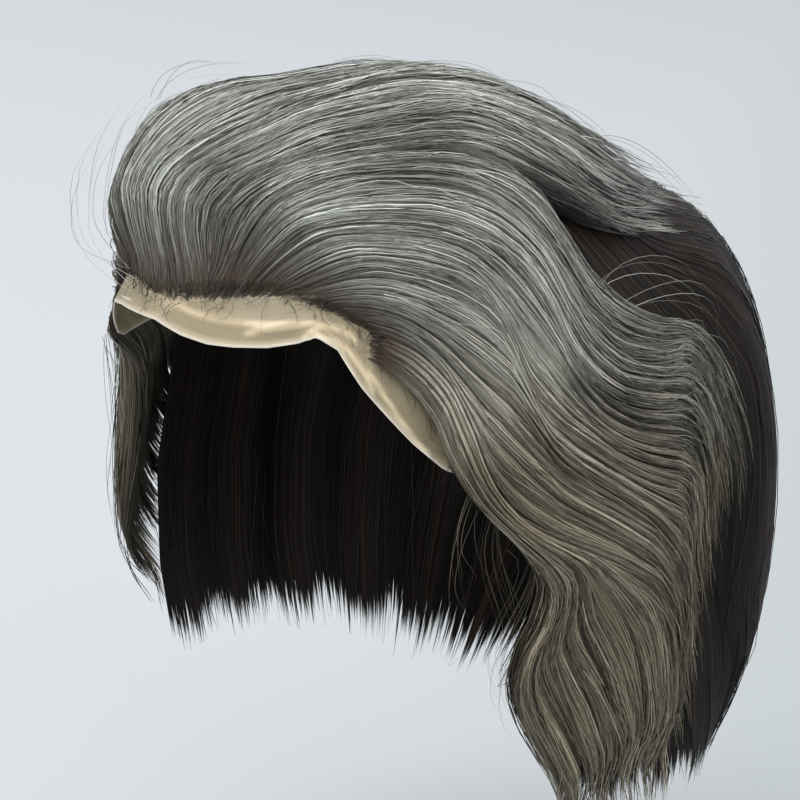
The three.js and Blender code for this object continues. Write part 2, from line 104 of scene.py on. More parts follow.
# Lines that the combed hair follows, from the hairline to the tips: turn, drop.
LINES = {
    "templeEdge": [
        [31, 62], [37, 65], [42, 70], [45.5, 76.5], [50, 82.5], [55, 87], [59, 90.5], [63, 94],
        [66, 99], [65.5, 104], [63, 109], [62, 115], [64, 121], [68, 127], [73, 134], [78, 142],
        [83, 149],
    ],
    "templeTop": [
        [31, 57.5], [38, 59.5], [44, 64.5], [48.5, 72], [52, 79], [57, 84.5], [64, 88.5], [73, 92],
        [81, 96], [88, 101], [92, 108], [94, 116], [98, 125], [103, 134], [108, 143],
    ],
    "lowerTop": [
        [13, 54], [18, 51.5], [25, 49.5], [34, 48.5], [44, 49.5], [51, 53], [54.5, 59],
        [57.5, 65.5], [63, 70.5], [69, 74], [75, 77.5], [82, 80.5], [90, 83.5], [96, 89],
        [101, 96.5], [104.5, 105],
    ],
    "middleTop": [
        [4, 55.5], [6, 52], [11, 48.5], [20, 44.5], [32, 41.5], [44, 41], [53, 43.5], [59, 48],
        [62.5, 53.5], [65, 59.5], [69.5, 64.5], [75.5, 68], [83, 70], [91, 71.5], [98, 75],
        [103.5, 81.5], [106, 89],
    ],
    "upperMid": [
        [1, 56], [2.5, 51], [8, 46], [17, 40], [27, 36], [38, 34], [49, 34], [58, 36.5],
        [64, 40.5], [67.5, 46.5], [70.5, 53], [77, 58.5], [87, 61], [97, 62], [103.5, 66.5],
        [107.5, 73.5], [109.5, 81],
    ],
    "partLeft": [
        [-2, 57], [0, 50.5], [7, 43.5], [19, 36], [29, 31.8], [40, 29.3], [51, 28.8], [61, 30.2],
        [67.5, 33.5], [70.5, 39], [73.5, 45.5], [79, 51], [87.5, 55.5], [98, 58], [106, 61],
        [111, 67], [113, 74.5],
    ],
    "partRight": [
        [-3, 57], [-1.2, 50], [5.5, 42.6], [18, 34.8], [28, 30.4], [39, 27.6], [51, 27],
        [62, 28.6], [71, 31.4], [78.5, 34.2], [86, 37], [94, 39.4], [102, 41.4], [109, 43.5],
    ],
    "crownMid": [
        [-4, 57.5], [-7, 51], [-5, 45.5], [3, 39.5], [8.5, 33], [19, 26.5], [35, 21], [53, 18.5],
        [70, 20.5], [83, 26], [93, 31], [102, 34.8], [110.5, 37.5], [117.5, 39.5],
    ],
    "quiffMid": [
        [-9, 58.8], [-12.5, 52], [-11.5, 46.5], [-6, 41.5], [0, 35.5], [3, 28], [10, 20],
        [28, 13.5], [62, 12], [96, 17], [116, 25], [127, 33], [134, 41.5],
    ],
    "quiffRight": [
        [-17, 60.6], [-21, 53], [-21.5, 47.5], [-17.5, 42], [-14, 35.5], [-15.5, 27], [-18, 19],
        [-24, 10], [-100, 4], [-167, 11], [-178, 21], [178, 31], [172, 42],
    ],
    "topRight": [
        [-31, 60], [-36, 54], [-40, 47.5], [-43, 41], [-50, 35], [-61, 30], [-77, 26], [-97, 26],
        [-117, 30], [-132, 38],
    ],
    "farMid": [
        [-44, 61.5], [-51, 58.5], [-59, 56.5], [-68, 56], [-77, 57.5], [-87, 60], [-97, 61],
        [-108, 62],
    ],
    "farFallTop": [
        [-53, 68], [-60, 70.5], [-68, 73], [-76, 76.5], [-83, 81], [-88, 87], [-93, 94],
        [-99, 102],
    ],
    "farEdge": [
        [-58, 77], [-64, 80.5], [-70, 84], [-76, 89], [-79, 96], [-80, 104], [-81, 113],
        [-84, 122], [-88, 132], [-94, 142],
    ],
}

# Bodies of combed hair: node, lines from side to side, locks, single hairs.
GREY_BODIES = [
    ("crown_locks", ("partRight", "crownMid"), 6, 1150),
    ("quiff_locks", ("crownMid", "quiffMid", "quiffRight"), 8, 2300),
    ("top_locks", ("quiffRight", "topRight"), 7, 750),
    ("upper_sweep", ("middleTop", "upperMid", "partLeft"), 8, 2500),
    ("middle_sweep", ("lowerTop", "middleTop"), 6, 1750),
]
SIDE_BODIES = [
    ("lower_sweep", ("templeTop", "lowerTop"), 8, 1950),
    ("temple_fall", ("templeEdge", "templeTop"), 6, 1350),
    ("far_side_sweep", ("topRight", "farMid", "farFallTop"), 8, 520),
    ("far_side_fall", ("farFallTop", "farEdge"), 4, 340),
]
PARTING_LINES = ("upperMid", "partLeft", "partRight", "crownMid", "quiffMid")
PARTING_HAIRS = 420
BACK_HAIRS = 620
LOCK_VARIATION = 0.3
STRAND_POINTS = 11
PATH_SAMPLES = 45
LINE_STEPS = 24  # points between two knots of a line
BEND_SHARE = 0.6  # how far the points of a hair gather in its bends
WISPS = 4  # finer wisps in each lock
HAIR_SHARES = (0.24, 0.42)  # length of a single hair, in lengths of its body
LEAST_SHARE = 0.18  # the shortest hair left where a body starts or ends
NORMAL_SHARE = 0.55  # how far the light on a hair follows its lock, not the round of the scalp
INNER_SHARE = 0.22  # share of the hairs that lie inside, where the hair hangs free
SIDE_SHARE = 0.14  # share of the hairs that lie down the sides of a body
HANGING_TAPER = 0.8  # how much thinner the hanging hair gets towards its tips
SHEET_INSET = 1.5  # how far the under-hair stays inside the hanging depth
DEGREE_SIZE = 1.7  # about the size of one degree on the scalp
ROOT_REACH = 26.0  # how far the dark colour of the roots reaches from the hairline
ROOT_MIX = 0.92  # how much of the root colour shows at the hairline
ROOT_ROUGHNESS = 0.3  # how much duller the roots are
NO_ROOT = 100.0  # a distance past the dark roots, for hair that shows none
GREY_SEED, PARTING_SEED, SIDE_SEED, LOOSE_SEED, BACK_SEED = 11, 21, 31, 61, 5
SHEET_ROWS = 42
LOCK_STEPS = 5  # columns of the under-hair in each lock
SHEET_MARGIN = 0.02  # how far the under-hair stays inside the sides of its body
TUFT_DEPTH = 0.11  # how far the grooves notch the tips of the under-hair
FADES = (0.045, 0.16)  # over which the under-hair runs out in single streaks, at roots and tips
PARTING_LOCKS = 5
BACK_LOCKS = 12
BACK_GRID = (44, 97)
BACK_LENGTHS = (28, 60)  # length of the single hairs of the back, as drop
STREAKS = ((26.0, 1.3, 1.0), (150.0, 1.6, 1.0), (420.0, 2.2, 1.0))  # broad, fine, single: across, along

# Screen colours of the hairs of each part, from its darkest to its lightest.
SHADES = ("dark", "middle", "light", "lightest")
HAIR_COLOURS = {
    "grey": ("on top", (52, 51, 48), (128, 128, 121), (182, 184, 176), (232, 236, 229)),
    "side": ("at the sides", (44, 40, 33), (110, 101, 84), (158, 147, 124), (206, 198, 176)),
    "back": ("at the back", (10, 8, 7), (24, 19, 16), (39, 30, 25), (66, 53, 44)),
}

# The mix of dark, grey and white hairs: change of tone, share of the hairs.
HAIR_MIX = np.array([[-0.3, 0.24], [-0.08, 0.3], [0.1, 0.27], [0.34, 0.19]])

# Painted light and shade on the hair, lighter where it is lit and darker where it lies in shade: turn,
# drop, reach, change of tone.
PAINTED_LIGHT_PATCHES = np.array([
    # Painted shade in the hollow behind the front wave, and painted light on the lit locks on both sides of
    # it.
    [-2, 46.5, 6, -0.2], [1, 42, 5, -0.12], [12, 49, 5, -0.06], [-28, 46, 9, 0.1], [-24, 55, 6, 0.12],
    [-13, 47, 5, 0.12], [-3, 35, 6, 0.16], [16, 43, 5, 0.2], [23, 40.5, 5, 0.12], [24, 34, 6, -0.08],
    [34, 39, 6, -0.1], [31, 45.5, 5, 0.08], [40, 44.5, 6, 0.16], [54, 37, 6, 0.08], [55, 52, 8, 0.1],
    [65, 49, 5, 0.08],
    # Painted shade in the parting under the crown locks, and painted light and shade at their tips.
    [22, 27, 5, -0.1], [30, 24.5, 6, -0.2], [41, 23, 6, -0.16], [54, 25, 5, 0.08], [60, 34, 5, 0.12],
    [69, 30.5, 4, -0.2], [77, 36, 6, -0.25], [86, 39, 7, -0.2], [79, 45, 6, -0.2], [112, 37, 9, -0.16],
    [120, 15, 9, 0.12], [10, 22, 7, 0.1], [60, 10, 8, 0.12],
    # The waves of the sweep to the left side, with painted light on their crests, and painted shade in the
    # dark pockets between its tips.
    [41, 50, 6, -0.1], [50, 50, 6, -0.08], [48, 56, 6, 0.06], [63, 61, 6, 0.18], [42, 67, 4, -0.14],
    [49, 68, 6, 0.24], [56, 66, 5, 0.12], [82, 66, 13, -0.12], [66, 64.9, 2, -0.3], [71, 66.4, 2, -0.3],
    [77, 66.8, 2, -0.4], [67, 57.2, 2, -0.25], [86, 78.2, 2.6, -0.3], [88, 53.1, 3, -0.3],
    [94, 76.5, 2.6, -0.25], [72, 88, 8, 0.16], [80, 91, 7, 0.18], [96, 92, 8, 0.16], [95, 118, 9, 0.18],
    [84, 115, 8, 0.06], [50, 82, 4, -0.18], [55, 92, 4, -0.2], [60, 102, 5, -0.2], [63, 116, 5, -0.14],
])

# Bodies along whose roots the baby hairs grow: node, share of the hairs, whether along its side.
BABY_ROWS = [
    ("far_side_sweep", 0.12, False), ("top_locks", 0.14, False), ("quiff_locks", 0.2, False),
    ("upper_sweep", 0.1, False), ("middle_sweep", 0.12, False), ("lower_sweep", 0.14, False),
    ("temple_fall", 0.06, False), ("temple_fall", 0.12, True),
]

# Single stray hairs over the front wave and the tips, then the wisps below the temples: rows of turn,
# drop and lift along each.
LOOPS = [
    [[-19, 60, 8], [-35, 59, 14], [-48, 58, 20], [-48, 53, 26], [-44, 48, 31], [-41, 43, 32]],
    [[-22, 60, 9], [-38, 59, 14], [-48, 57, 20], [-46, 52, 25], [-43, 47, 28]],
    [[-25, 57, 12], [-41, 55, 16], [-45, 50, 22], [-42, 45, 27], [-41, 40, 28]],
    [[-41, 39, 28], [-41, 35, 31], [-41, 31, 29], [-42, 27, 24]],
    [[72, 52, 16], [84, 48.3, 19], [97, 50.5, 22], [106, 56.6, 21]],
    [[73, 55, 16], [86, 52, 19], [100, 54, 22], [109, 60, 21]],
    [[118, 27, 12], [130, 34, 16], [138, 43, 18], [143, 51, 21]],
]
EAR_WISPS = [
    [[54, 79, 4], [49.5, 83, 4], [48, 89, 5], [49, 94, 4], [52, 100, 3]],
    [[56, 82, 4], [55, 90, 5], [58, 97, 5], [62, 104, 4], [63, 112, 3]],
    [[60, 88, 5], [63, 94, 6], [60, 101, 6], [58, 108, 5], [61, 116, 4]],
    [[63, 93, 6], [64, 100, 7], [61, 108, 7], [61, 116, 6], [65, 122, 5]],
    [[-60, 80, 4], [-66, 86, 5], [-70, 94, 5], [-72, 102, 4], [-74, 110, 3]],
]

# Front edge of the dark back hair at each drop, as a turn on the left and on the right side.
BACK_EDGE = np.array([
    [24, 58, -102], [34, 58, -98], [46, 66, -94], [58, 78, -92], [72, 84, -90], [90, 84, -88],
    [110, 84, -86], [130, 90, -90], [150, 98, -98],
], float)
BACK_TOP = 24.0
BACK_EDGE_RAMP = 22.0
EDGE_CLEARANCE = (-10, -3)
UNDERLAY = 0.45  # height of the dark hair under the grey hair, in heights of the combed surface
TIP_TURNS = (104, 126)
TIP_DROPS = (41, 55)

# The visible film: its thickness, places round it, and rows from the top of the scalp to its border.
FILM_SHEET = 0.3
FILM_TURNS = np.concatenate([np.linspace(-180, -60, 33), np.linspace(-60, 60, 141)[1:-1],
                             np.linspace(60, 180, 33)[:-1]])
FILM_ROWS = np.concatenate([[0.02], np.linspace(0.1, 0.78, 7), np.linspace(0.81, 0.992, 15), [1.0]])
# The whiter cut edge is partly the film's own paler edge and partly painted highlight.
FILM_RIM = 0.988  # where the whiter cut edge starts

# The stage, in metres and degrees. The floor's two tones, the darker one painted shade, meet along a way
# across the camera's view.
FLOOR_REACH = 30.0
FLOOR_WAY = (0.966, 0.36, 0.0)
FLOOR_FADE = (-0.2, 0.25)
SKY_TINT = (0.975, 0.985, 1.0, 1.0)
LIGHTS_AIM = Vector((0.02, 0, -0.07))
KEY_LIGHT = ((-0.9, -1.9, 3.5), 2.4)
FILL_LIGHT = ((2.4, -1.4, 1.6), 2.0)
CAMERA_ANGLES = (34.5, 18.2, 6.6)  # round to the left, up, and roll
CAMERA_AIM = Vector((0, 0, -0.1))
CAMERA_DISTANCE = 0.771
CAMERA_LENS = {"lens": 117, "sensor_width": 36, "shift_x": 0.02375, "shift_y": 0.0475, "clip_end": 20}


def smooth(value, low, high):
    share = np.clip((value - low) / (high - low), 0, 1)
    return share * share * (3 - 2 * share)


def flat_map(turn, drop):
    """Places on the scalp in a flat map that has its top in the middle."""
    around = np.radians(turn)
    return np.stack([drop * np.sin(around), -drop * np.cos(around)], -1)


def from_map(points):
    """Turn and drop of points in the flat map."""
    return np.degrees(np.arctan2(points[..., 0], -points[..., 1])), np.linalg.norm(points, axis=-1)


def on_scalp(turn, drop, lift):
    """Points at a height over the scalp."""
    turn, drop, lift = np.broadcast_arrays(turn, drop, lift)
    around = np.radians(turn)
    down = np.radians(np.minimum(drop, WIDEST_DROP))
    way = np.stack([np.sin(down) * np.sin(around), -np.sin(down) * np.cos(around), np.cos(down)], -1)
    reach = 1 / np.linalg.norm(way / SCALP, axis=-1)
    hang = np.maximum(drop - WIDEST_DROP, 0) / (LOWEST_DROP - WIDEST_DROP)
    tuck = NAPE_TUCK * hang**2 * smooth(np.abs(turn), *NAPE_TURNS)
    points = SCALP_MIDDLE + way * (reach + lift - tuck)[..., None]
    points[..., 2] -= hang * HANG_LENGTH
    return points


def hair_height(turn, drop):
    """Height of the combed hair over the scalp."""
    last = len(HAIR_PERCENT) - 1
    x = (turn + 180) / 30
    y = np.clip(drop / 20, 0, last)
    column = np.floor(x).astype(int)
    row = np.minimum(np.floor(y).astype(int), last - 1)

    def curve(values, share):
        a, b, c, d = values
        s2 = share * share
        s3 = s2 * share
        return (b * (2 * s3 - 3 * s2 + 1) + (c - a) / 2 * (s3 - 2 * s2 + share)
                + c * (3 * s2 - 2 * s3) + (d - b) / 2 * (s3 - s2))

    def in_row(r):
        rows = HAIR_PERCENT[np.clip(r, 0, last)]
        pick = [np.take_along_axis(rows, ((column + k) % 12)[..., None], -1)[..., 0] for k in (-1, 0, 1, 2)]
        return curve(pick, x - column)

    return HAIR_DEPTH / 100 * curve([in_row(row + k) for k in (-1, 0, 1, 2)], y - row)


def back_edges(drop):
    """Turns between which the dark back hair lies, from the left side round to the right one."""
    drops, left, right = BACK_EDGE.T
    return np.interp(drop, drops, left), np.interp(drop, drops, right) + 360


def under_height(turn, drop):
    """Top of the film, or of the dark back hair where that lies over it."""
    around = np.where(turn < 0, turn + 360, turn)
    left, right = back_edges(drop)
    before = np.where((turn > -30) & (turn < left), turn - left, around - left)
    spread = np.sin(np.radians(np.minimum(drop, WIDEST_DROP)))
    inside = np.minimum(np.minimum(before * spread, (right - around) * spread), drop - BACK_TOP)
    least = FILM_WALL + SEAT_GAP + LEAST_DEPTH
    outside = FILM_WALL + (least - FILM_WALL) * smooth(inside, *EDGE_CLEARANCE)
    from_front = 180 - np.abs(around - 180)
    open_share = smooth(from_front, *TIP_TURNS) * smooth(drop, *TIP_DROPS)
    full = hair_height(turn, drop) * (UNDERLAY + (1 - UNDERLAY) * open_share)
    risen = least + np.maximum(full - least, 0) * smooth(inside, 0, BACK_EDGE_RAMP)
    return np.where(inside < 0, outside, risen)


class Line:
    """A combed line in the flat map of the scalp, by its share of the length. It runs on past its ends."""

    def __init__(self, rows):
        points = flat_map(*np.array(rows, float).T)
        ends = [2 * points[0] - points[1], *points, 2 * points[-1] - points[-2]]
        dense = []
        for a, b, c, d in zip(ends, ends[1:], ends[2:], ends[3:]):
            ab, bc, cd = (np.linalg.norm(q - p) ** 0.5 for p, q in ((a, b), (b, c), (c, d)))
            slope_in = (b - a) / ab - (c - a) / (ab + bc) + (c - b) / bc
            slope_out = (c - b) / bc - (d - b) / (bc + cd) + (d - c) / cd
            s = np.linspace(0, 1, LINE_STEPS, endpoint=False)[:, None]
            dense.append(b * (2 * s**3 - 3 * s**2 + 1) + slope_in * bc * (s**3 - 2 * s**2 + s)
                         + c * (3 * s**2 - 2 * s**3) + slope_out * bc * (s**3 - s**2))
        self.points = np.concatenate([*dense, points[-1:]])
        steps = np.linalg.norm(np.diff(self.points, axis=0), axis=1)
        self.share = np.concatenate([[0], np.cumsum(steps)]) / steps.sum()
        self.length = steps.sum() * DEGREE_SIZE

    def at(self, along):
        place = np.stack([np.interp(along, self.share, self.points[:, k]) for k in (0, 1)], -1)
        for end, inner in ((0, 6), (-1, -7)):
            way = (self.points[end] - self.points[inner]) / (self.share[end] - self.share[inner])
            past = np.minimum(along, 0) if end == 0 else np.maximum(along - 1, 0)
            place = place + way * past[..., None]
        return place


class Body:
    """One body of combed hair between lines, with its locks."""

    def __init__(self, name, lines, locks):
        self.name = name
        self.lines = [Line(LINES[key]) for key in lines]
        widths = 1 + LOCK_VARIATION * np.sin(2.4 * np.arange(locks) + 1)
        self.edges = np.concatenate([[0], np.cumsum(widths)]) / widths.sum()
        self.length = np.mean([line.length for line in self.lines])

    def place(self, along, across):
        """Turn and drop at shares of the length and of the width."""
        points = [line.at(along) for line in self.lines]
        scaled = np.clip(across, -0.05, 1.05) * (len(points) - 1)
        first = np.clip(np.floor(scaled), 0, len(points) - 2).astype(int)
        stack = np.stack(points)
        near = np.take_along_axis(stack, first[None, ..., None], 0)[0]
        far = np.take_along_axis(stack, first[None, ..., None] + 1, 0)[0]
        spot = near + (far - near) * (scaled - first)[..., None]
        return from_map(spot)

    def in_lock(self, across):
        """Place inside the lock there, from -1 to 1."""
        lock = np.clip(np.searchsorted(self.edges, across, side="right") - 1, 0, len(self.edges) - 2)
        start, end = self.edges[lock], self.edges[lock + 1]
        return 2 * (across - start) / (end - start) - 1

    def surface(self, along, across):
        """Turn, drop, lift of the combed surface and lift of what lies under it."""
        turn, drop = self.place(along, across)
        share = np.clip(along, 0, 1)
        rise = ROOT_SHARE + (1 - ROOT_SHARE) * smooth(share, 0, ROOT_RAMP)
        thin = 1 - (1 - TIP_SHARE) * smooth(share, 1 - TIP_RAMP, 1)
        low = under_height(turn, drop) + SEAT_GAP
        base = low + LEAST_DEPTH
        spare = np.maximum(hair_height(turn, drop) - base - LOCK_RELIEF, 0)
        ridge = 1 - np.abs(np.clip(self.in_lock(across), -1, 1)) ** 2.4
        top = base + spare * rise * thin + LOCK_RELIEF * ridge * np.minimum(rise, thin)
        return turn, drop, top, low


def combed_normals(body, along, across):
    """Normals of the combed surface, softened towards the normals of the scalp."""
    def at(along, across):
        return on_scalp(*body.surface(along, across)[:3])

    turn, drop, top, _ = body.surface(along, across)
    here = on_scalp(turn, drop, top)
    outward = on_scalp(turn, drop, top + 1) - here
    normal = np.cross(at(along + 0.01, across) - here, at(along, across + 0.012) - here)
    normal = normal / np.maximum(np.linalg.norm(normal, axis=-1, keepdims=True), 1e-9)
    normal = normal * np.sign((normal * outward).sum(-1, keepdims=True))
    return NORMAL_SHARE * normal + (1 - NORMAL_SHARE) * outward


def put_mesh(name, points, edges=None, faces=None, attributes=None):
    """A mesh object from arrays in millimetres, with values stored at its points."""
    mesh = bpy.data.meshes.new(name)
    mesh.vertices.add(len(points))
    mesh.vertices.foreach_set("co", (np.asarray(points, np.float32) / 1000).ravel())
    if edges is not None:
        mesh.edges.add(len(edges))
        mesh.edges.foreach_set("vertices", np.asarray(edges, np.int32).ravel())
    if faces is not None:
        mesh.loops.add(faces.size)
        mesh.loops.foreach_set("vertex_index", faces.ravel().astype(np.int32))
        mesh.polygons.add(len(faces))
        mesh.polygons.foreach_set("loop_start", np.arange(0, faces.size, faces.shape[1], dtype=np.int32))
    for key, values in (attributes or {}).items():
        values = np.asarray(values, np.float32)
        vector = values.ndim == 2
        layer = mesh.attributes.new(key, "FLOAT_VECTOR" if vector else "FLOAT", "POINT")
        layer.data.foreach_set("vector" if vector else "value", values.ravel())
    mesh.update(calc_edges=edges is None)
    mesh.validate()
    item = bpy.data.objects.new(name, mesh)
    bpy.context.scene.collection.objects.link(item)
    return item


def closed_sheet(name, top, under, attributes, inner):
    """A closed body from an outer and an inner grid of points. Inner holds values that differ inside."""
    rows, columns = top.shape[:2]
    index = np.arange(rows * columns).reshape(rows, columns)
    quads = np.stack([index[:-1, :-1], index[1:, :-1], index[1:, 1:], index[:-1, 1:]], -1).reshape(-1, 4)
    count = rows * columns
    faces = [quads, quads[:, ::-1] + count]
    rims = ((index[0], False), (index[-1], True), (index[:, 0], True), (index[:, -1], False))
    for rim, flip in rims:
        wall = np.stack([rim[:-1], rim[1:], rim[1:] + count, rim[:-1] + count], -1)
        faces.append(wall[:, ::-1] if flip else wall)
    points = np.concatenate([top.reshape(-1, 3), under.reshape(-1, 3)])
    faces = np.concatenate(faces)
    a, b, c, d = (points[faces[:, k]] for k in range(4))
    volume = (a * np.cross(b, c)).sum() + (a * np.cross(c, d)).sum()
    if volume < 0:  # the faces point inwards
        faces = faces[:, ::-1]
    doubled = {key: np.concatenate([v.reshape(count, -1), inner.get(key, v).reshape(count, -1)]).squeeze()
               for key, v in attributes.items()}
    item = put_mesh(name, points, faces=faces, attributes=doubled)
    item.data.shade_smooth()
    return item


class Socket:
    """An output in a node tree that can be used in sums and products."""

    def __init__(self, tree, link):
        self.tree = tree
        self.link = link

    def math(self, operation, first, second):
        return self.tree.node("ShaderNodeMath", {"operation": operation}, {0: first, 1: second})

    def __add__(self, other):
        return self.math("ADD", self, other)

    def __radd__(self, other):
        return self.math("ADD", other, self)

    def __sub__(self, other):
        return self.math("SUBTRACT", self, other)

    def __rsub__(self, other):
        return self.math("SUBTRACT", other, self)

    def __mul__(self, other):
        return self.math("MULTIPLY", self, other)

    def __rmul__(self, other):
        return self.math("MULTIPLY", other, self)


class Tree:
    """A node tree that is written as expressions."""

    def __init__(self, tree):
        self.tree = tree

    def node(self, kind, settings=None, sockets=None, output=0):
        """Adds a node with its settings, then the values or links of its sockets."""
        made = self.tree.nodes.new(kind)
        for key, value in (settings or {}).items():
            if key == "stops":
                ramp = made.color_ramp
                while len(ramp.elements) < len(value):
                    ramp.elements.new(0.5)
                for element, (place, colour) in zip(ramp.elements, value):
                    element.position = place
                    element.color = colour
            else:
                setattr(made, key, value)
        for key, value in (sockets or {}).items():
            if isinstance(value, Socket):
                self.tree.links.new(value.link, made.inputs[key])
            else:
                made.inputs[key].default_value = value
        return Socket(self, made.outputs[output]) if len(made.outputs) else None

    def attribute(self, name, output="Fac"):
        return self.node("ShaderNodeAttribute", {"attribute_name": name}, output=output)

    def noise(self, vector, scale, detail=2.0):
        return self.node("ShaderNodeTexNoise", {}, {"Vector": vector, "Scale": scale, "Detail": detail})

    def stretched(self, vector, factors):
        return self.node("ShaderNodeVectorMath", {"operation": "MULTIPLY"}, {0: vector, 1: factors})

    def mix(self, share, first, second):
        return self.node("ShaderNodeMix", {"data_type": "RGBA"}, {0: share, 6: first, 7: second}, output=2)

    def ramp(self, value, stops):
        return self.node("ShaderNodeValToRGB", {"stops": stops}, {0: value})

    def limit(self, value, low, high):
        """Goes smoothly from 0 to 1 while the value goes from low to high."""
        return self.node("ShaderNodeMapRange", {"interpolation_type": "SMOOTHSTEP"},
                         {"Value": value, "From Min": low, "From Max": high})


def new_material(name):
    material = bpy.data.materials.new(name)
    material.use_nodes = True
    material.node_tree.nodes.clear()
    return material, Tree(material.node_tree)


def finish_material(tree, **sockets):
    keys = {key.replace("_", " "): value for key, value in sockets.items()}
    shader = tree.node("ShaderNodeBsdfPrincipled", {}, keys)
    tree.node("ShaderNodeOutputMaterial", {}, {"Surface": shader})


def colour(red, green, blue):
    """A screen colour, from 0 to 255, as the linear colour that materials use."""
    values = [c / 255 for c in (red, green, blue)]
    return (*[c / 12.92 if c <= 0.04045 else ((c + 0.055) / 1.055) ** 2.4 for c in values], 1.0)


def tone_stops(tones):
    return [(place, tuple(shade)) for place, shade in zip((0.0, 0.4, 0.7, 1.0), tones)]


def hair_shade(tree, tone, tones, side_tones):
    """Colour of a tone of hair, from the tones on top to the warmer ones at the sides."""
    shade = tree.ramp(tone, tone_stops(tones))
    if side_tones is None:
        return shade
    return tree.mix(tree.attribute("warm"), shade, tree.ramp(tone, tone_stops(side_tones)))


def strand_material(name, tones, root, gloss, side_tones=None):
    """Single hairs: each has its own tone, darker at the root, and is lit as part of its lock."""
    material, tree = new_material(name)
    where = tree.node("ShaderNodeTexCoord", output="Object")
    patch = tree.noise(where, 70.0) - 0.5
    fleck = tree.noise(where, 900.0) - 0.5
    # The tone attribute holds painted light and shade as well as each hair's own tone.
    shade = hair_shade(tree, tree.attribute("tone") + patch * 0.25 + fleck * 0.15, tones, side_tones)
    at_root = 1 - tree.limit(tree.attribute("from_root"), 0.0, ROOT_REACH)
    lit = tree.node("ShaderNodeVectorMath", {"operation": "NORMALIZE"}, {0: tree.attribute("out", 1)})
    finish_material(tree, Base_Color=tree.mix(at_root * ROOT_MIX, shade, tuple(root)),
                    Roughness=0.48 + fleck * 0.12 + at_root * ROOT_ROUGHNESS, Specular_IOR_Level=gloss,
                    Normal=lit)
    return material


def body_material(name, tones, root, gloss, side_tones=None):
    """The hair under the single hairs: streaks along the comb, which run out singly at both ends."""
    material, tree = new_material(name)
    comb = tree.attribute("comb", 1)
    broad, fine, hair = (tree.noise(tree.stretched(comb, factors), 1.0, detail)
                         for factors, detail in zip(STREAKS, (3.0, 2.0, 1.0)))
    # Streaked tone, with painted light and shade from the shift attribute.
    tone = 0.42 + (broad - 0.5) * 0.5 + (fine - 0.5) * 2.0 + (hair - 0.5) * 1.8 + tree.attribute("shift")
    # Painted shade in the grooves between the locks.
    tone = tone - tree.attribute("groove") * 0.55
    shade = hair_shade(tree, tone, tones, side_tones)
    at_root = 1 - tree.limit(tree.attribute("from_root"), 0.0, ROOT_REACH)
    cut = tree.attribute("cut") + (fine - 0.5) * 2.4 + (hair - 0.5) * 1.6
    bump = tree.node("ShaderNodeBump", {}, {"Strength": 1.0, "Distance": 0.0006,
                                            "Height": broad * 0.6 + fine * 0.8 + hair * 0.3})
    finish_material(tree, Base_Color=tree.mix(at_root * ROOT_MIX, shade, tuple(root)),
                    Roughness=0.55 + (fine - 0.5) * 0.2 + at_root * ROOT_ROUGHNESS, Normal=bump,
                    Specular_IOR_Level=gloss, Alpha=tree.limit(cut, 0.45, 0.75))
    return material


def strand_tree(material, seed, look):
    """Sweeps a thin closed tube along each combed path, with a little frizz."""
    group = bpy.data.node_groups.new("Swept hairs", "GeometryNodeTree")
    group.interface.new_socket("Geometry", in_out="INPUT", socket_type="NodeSocketGeometry")
    inputs = {"Hair Width": look.hair_width, "Frizz": look.frizz, "Frizz Pitch": 1 / look.frizz_size,
              "Seed": seed}
    keys = {}
    for label in inputs:
        socket = group.interface.new_socket(label, in_out="INPUT", socket_type="NodeSocketFloat")
        keys[label] = socket.identifier
    group.interface.new_socket("Geometry", in_out="OUTPUT", socket_type="NodeSocketGeometry")
    tree = Tree(group)
    entry = group.nodes.new("NodeGroupInput")
    given = {socket.name: Socket(tree, socket) for socket in entry.outputs if socket.name}

    def stored(label):
        return tree.node("GeometryNodeInputNamedAttribute", {"data_type": "FLOAT"}, {"Name": label})

    curve = tree.node("GeometryNodeMeshToCurve", {}, {"Mesh": given["Geometry"]})
    wander = tree.node("ShaderNodeTexNoise", {"noise_dimensions": "4D"},
                       {"W": given["Seed"] + stored("tone") * 7.0, "Scale": given["Frizz Pitch"],
                        "Detail": 1.0}, output=1)
    centred = tree.node("ShaderNodeVectorMath", {"operation": "SUBTRACT"}, {0: wander, 1: (0.5, 0.5, 0.5)})
    shift = tree.node("ShaderNodeVectorMath", {"operation": "SCALE"},
                      {0: centred, "Scale": given["Frizz"] * stored("loose")})
    curve = tree.node("GeometryNodeSetPosition", {}, {"Geometry": curve, "Offset": shift})
    round_hair = tree.node("GeometryNodeCurvePrimitiveCircle", {}, {"Resolution": 3, "Radius": 0.5})
    swept = tree.node("GeometryNodeCurveToMesh", {}, {
        "Curve": curve, "Profile Curve": round_hair, "Scale": given["Hair Width"] * stored("thick"),
        "Fill Caps": True})
    swept = tree.node("GeometryNodeSetShadeSmooth", {}, {"Geometry": swept})
    swept = tree.node("GeometryNodeRealizeInstances", {}, {"Geometry": swept})
    swept = tree.node("GeometryNodeSetMaterial", {}, {"Geometry": swept, "Material": material})
    leave = group.nodes.new("NodeGroupOutput")
    group.links.new(swept.link, leave.inputs[0])
    return group, {keys[label]: value for label, value in inputs.items()}


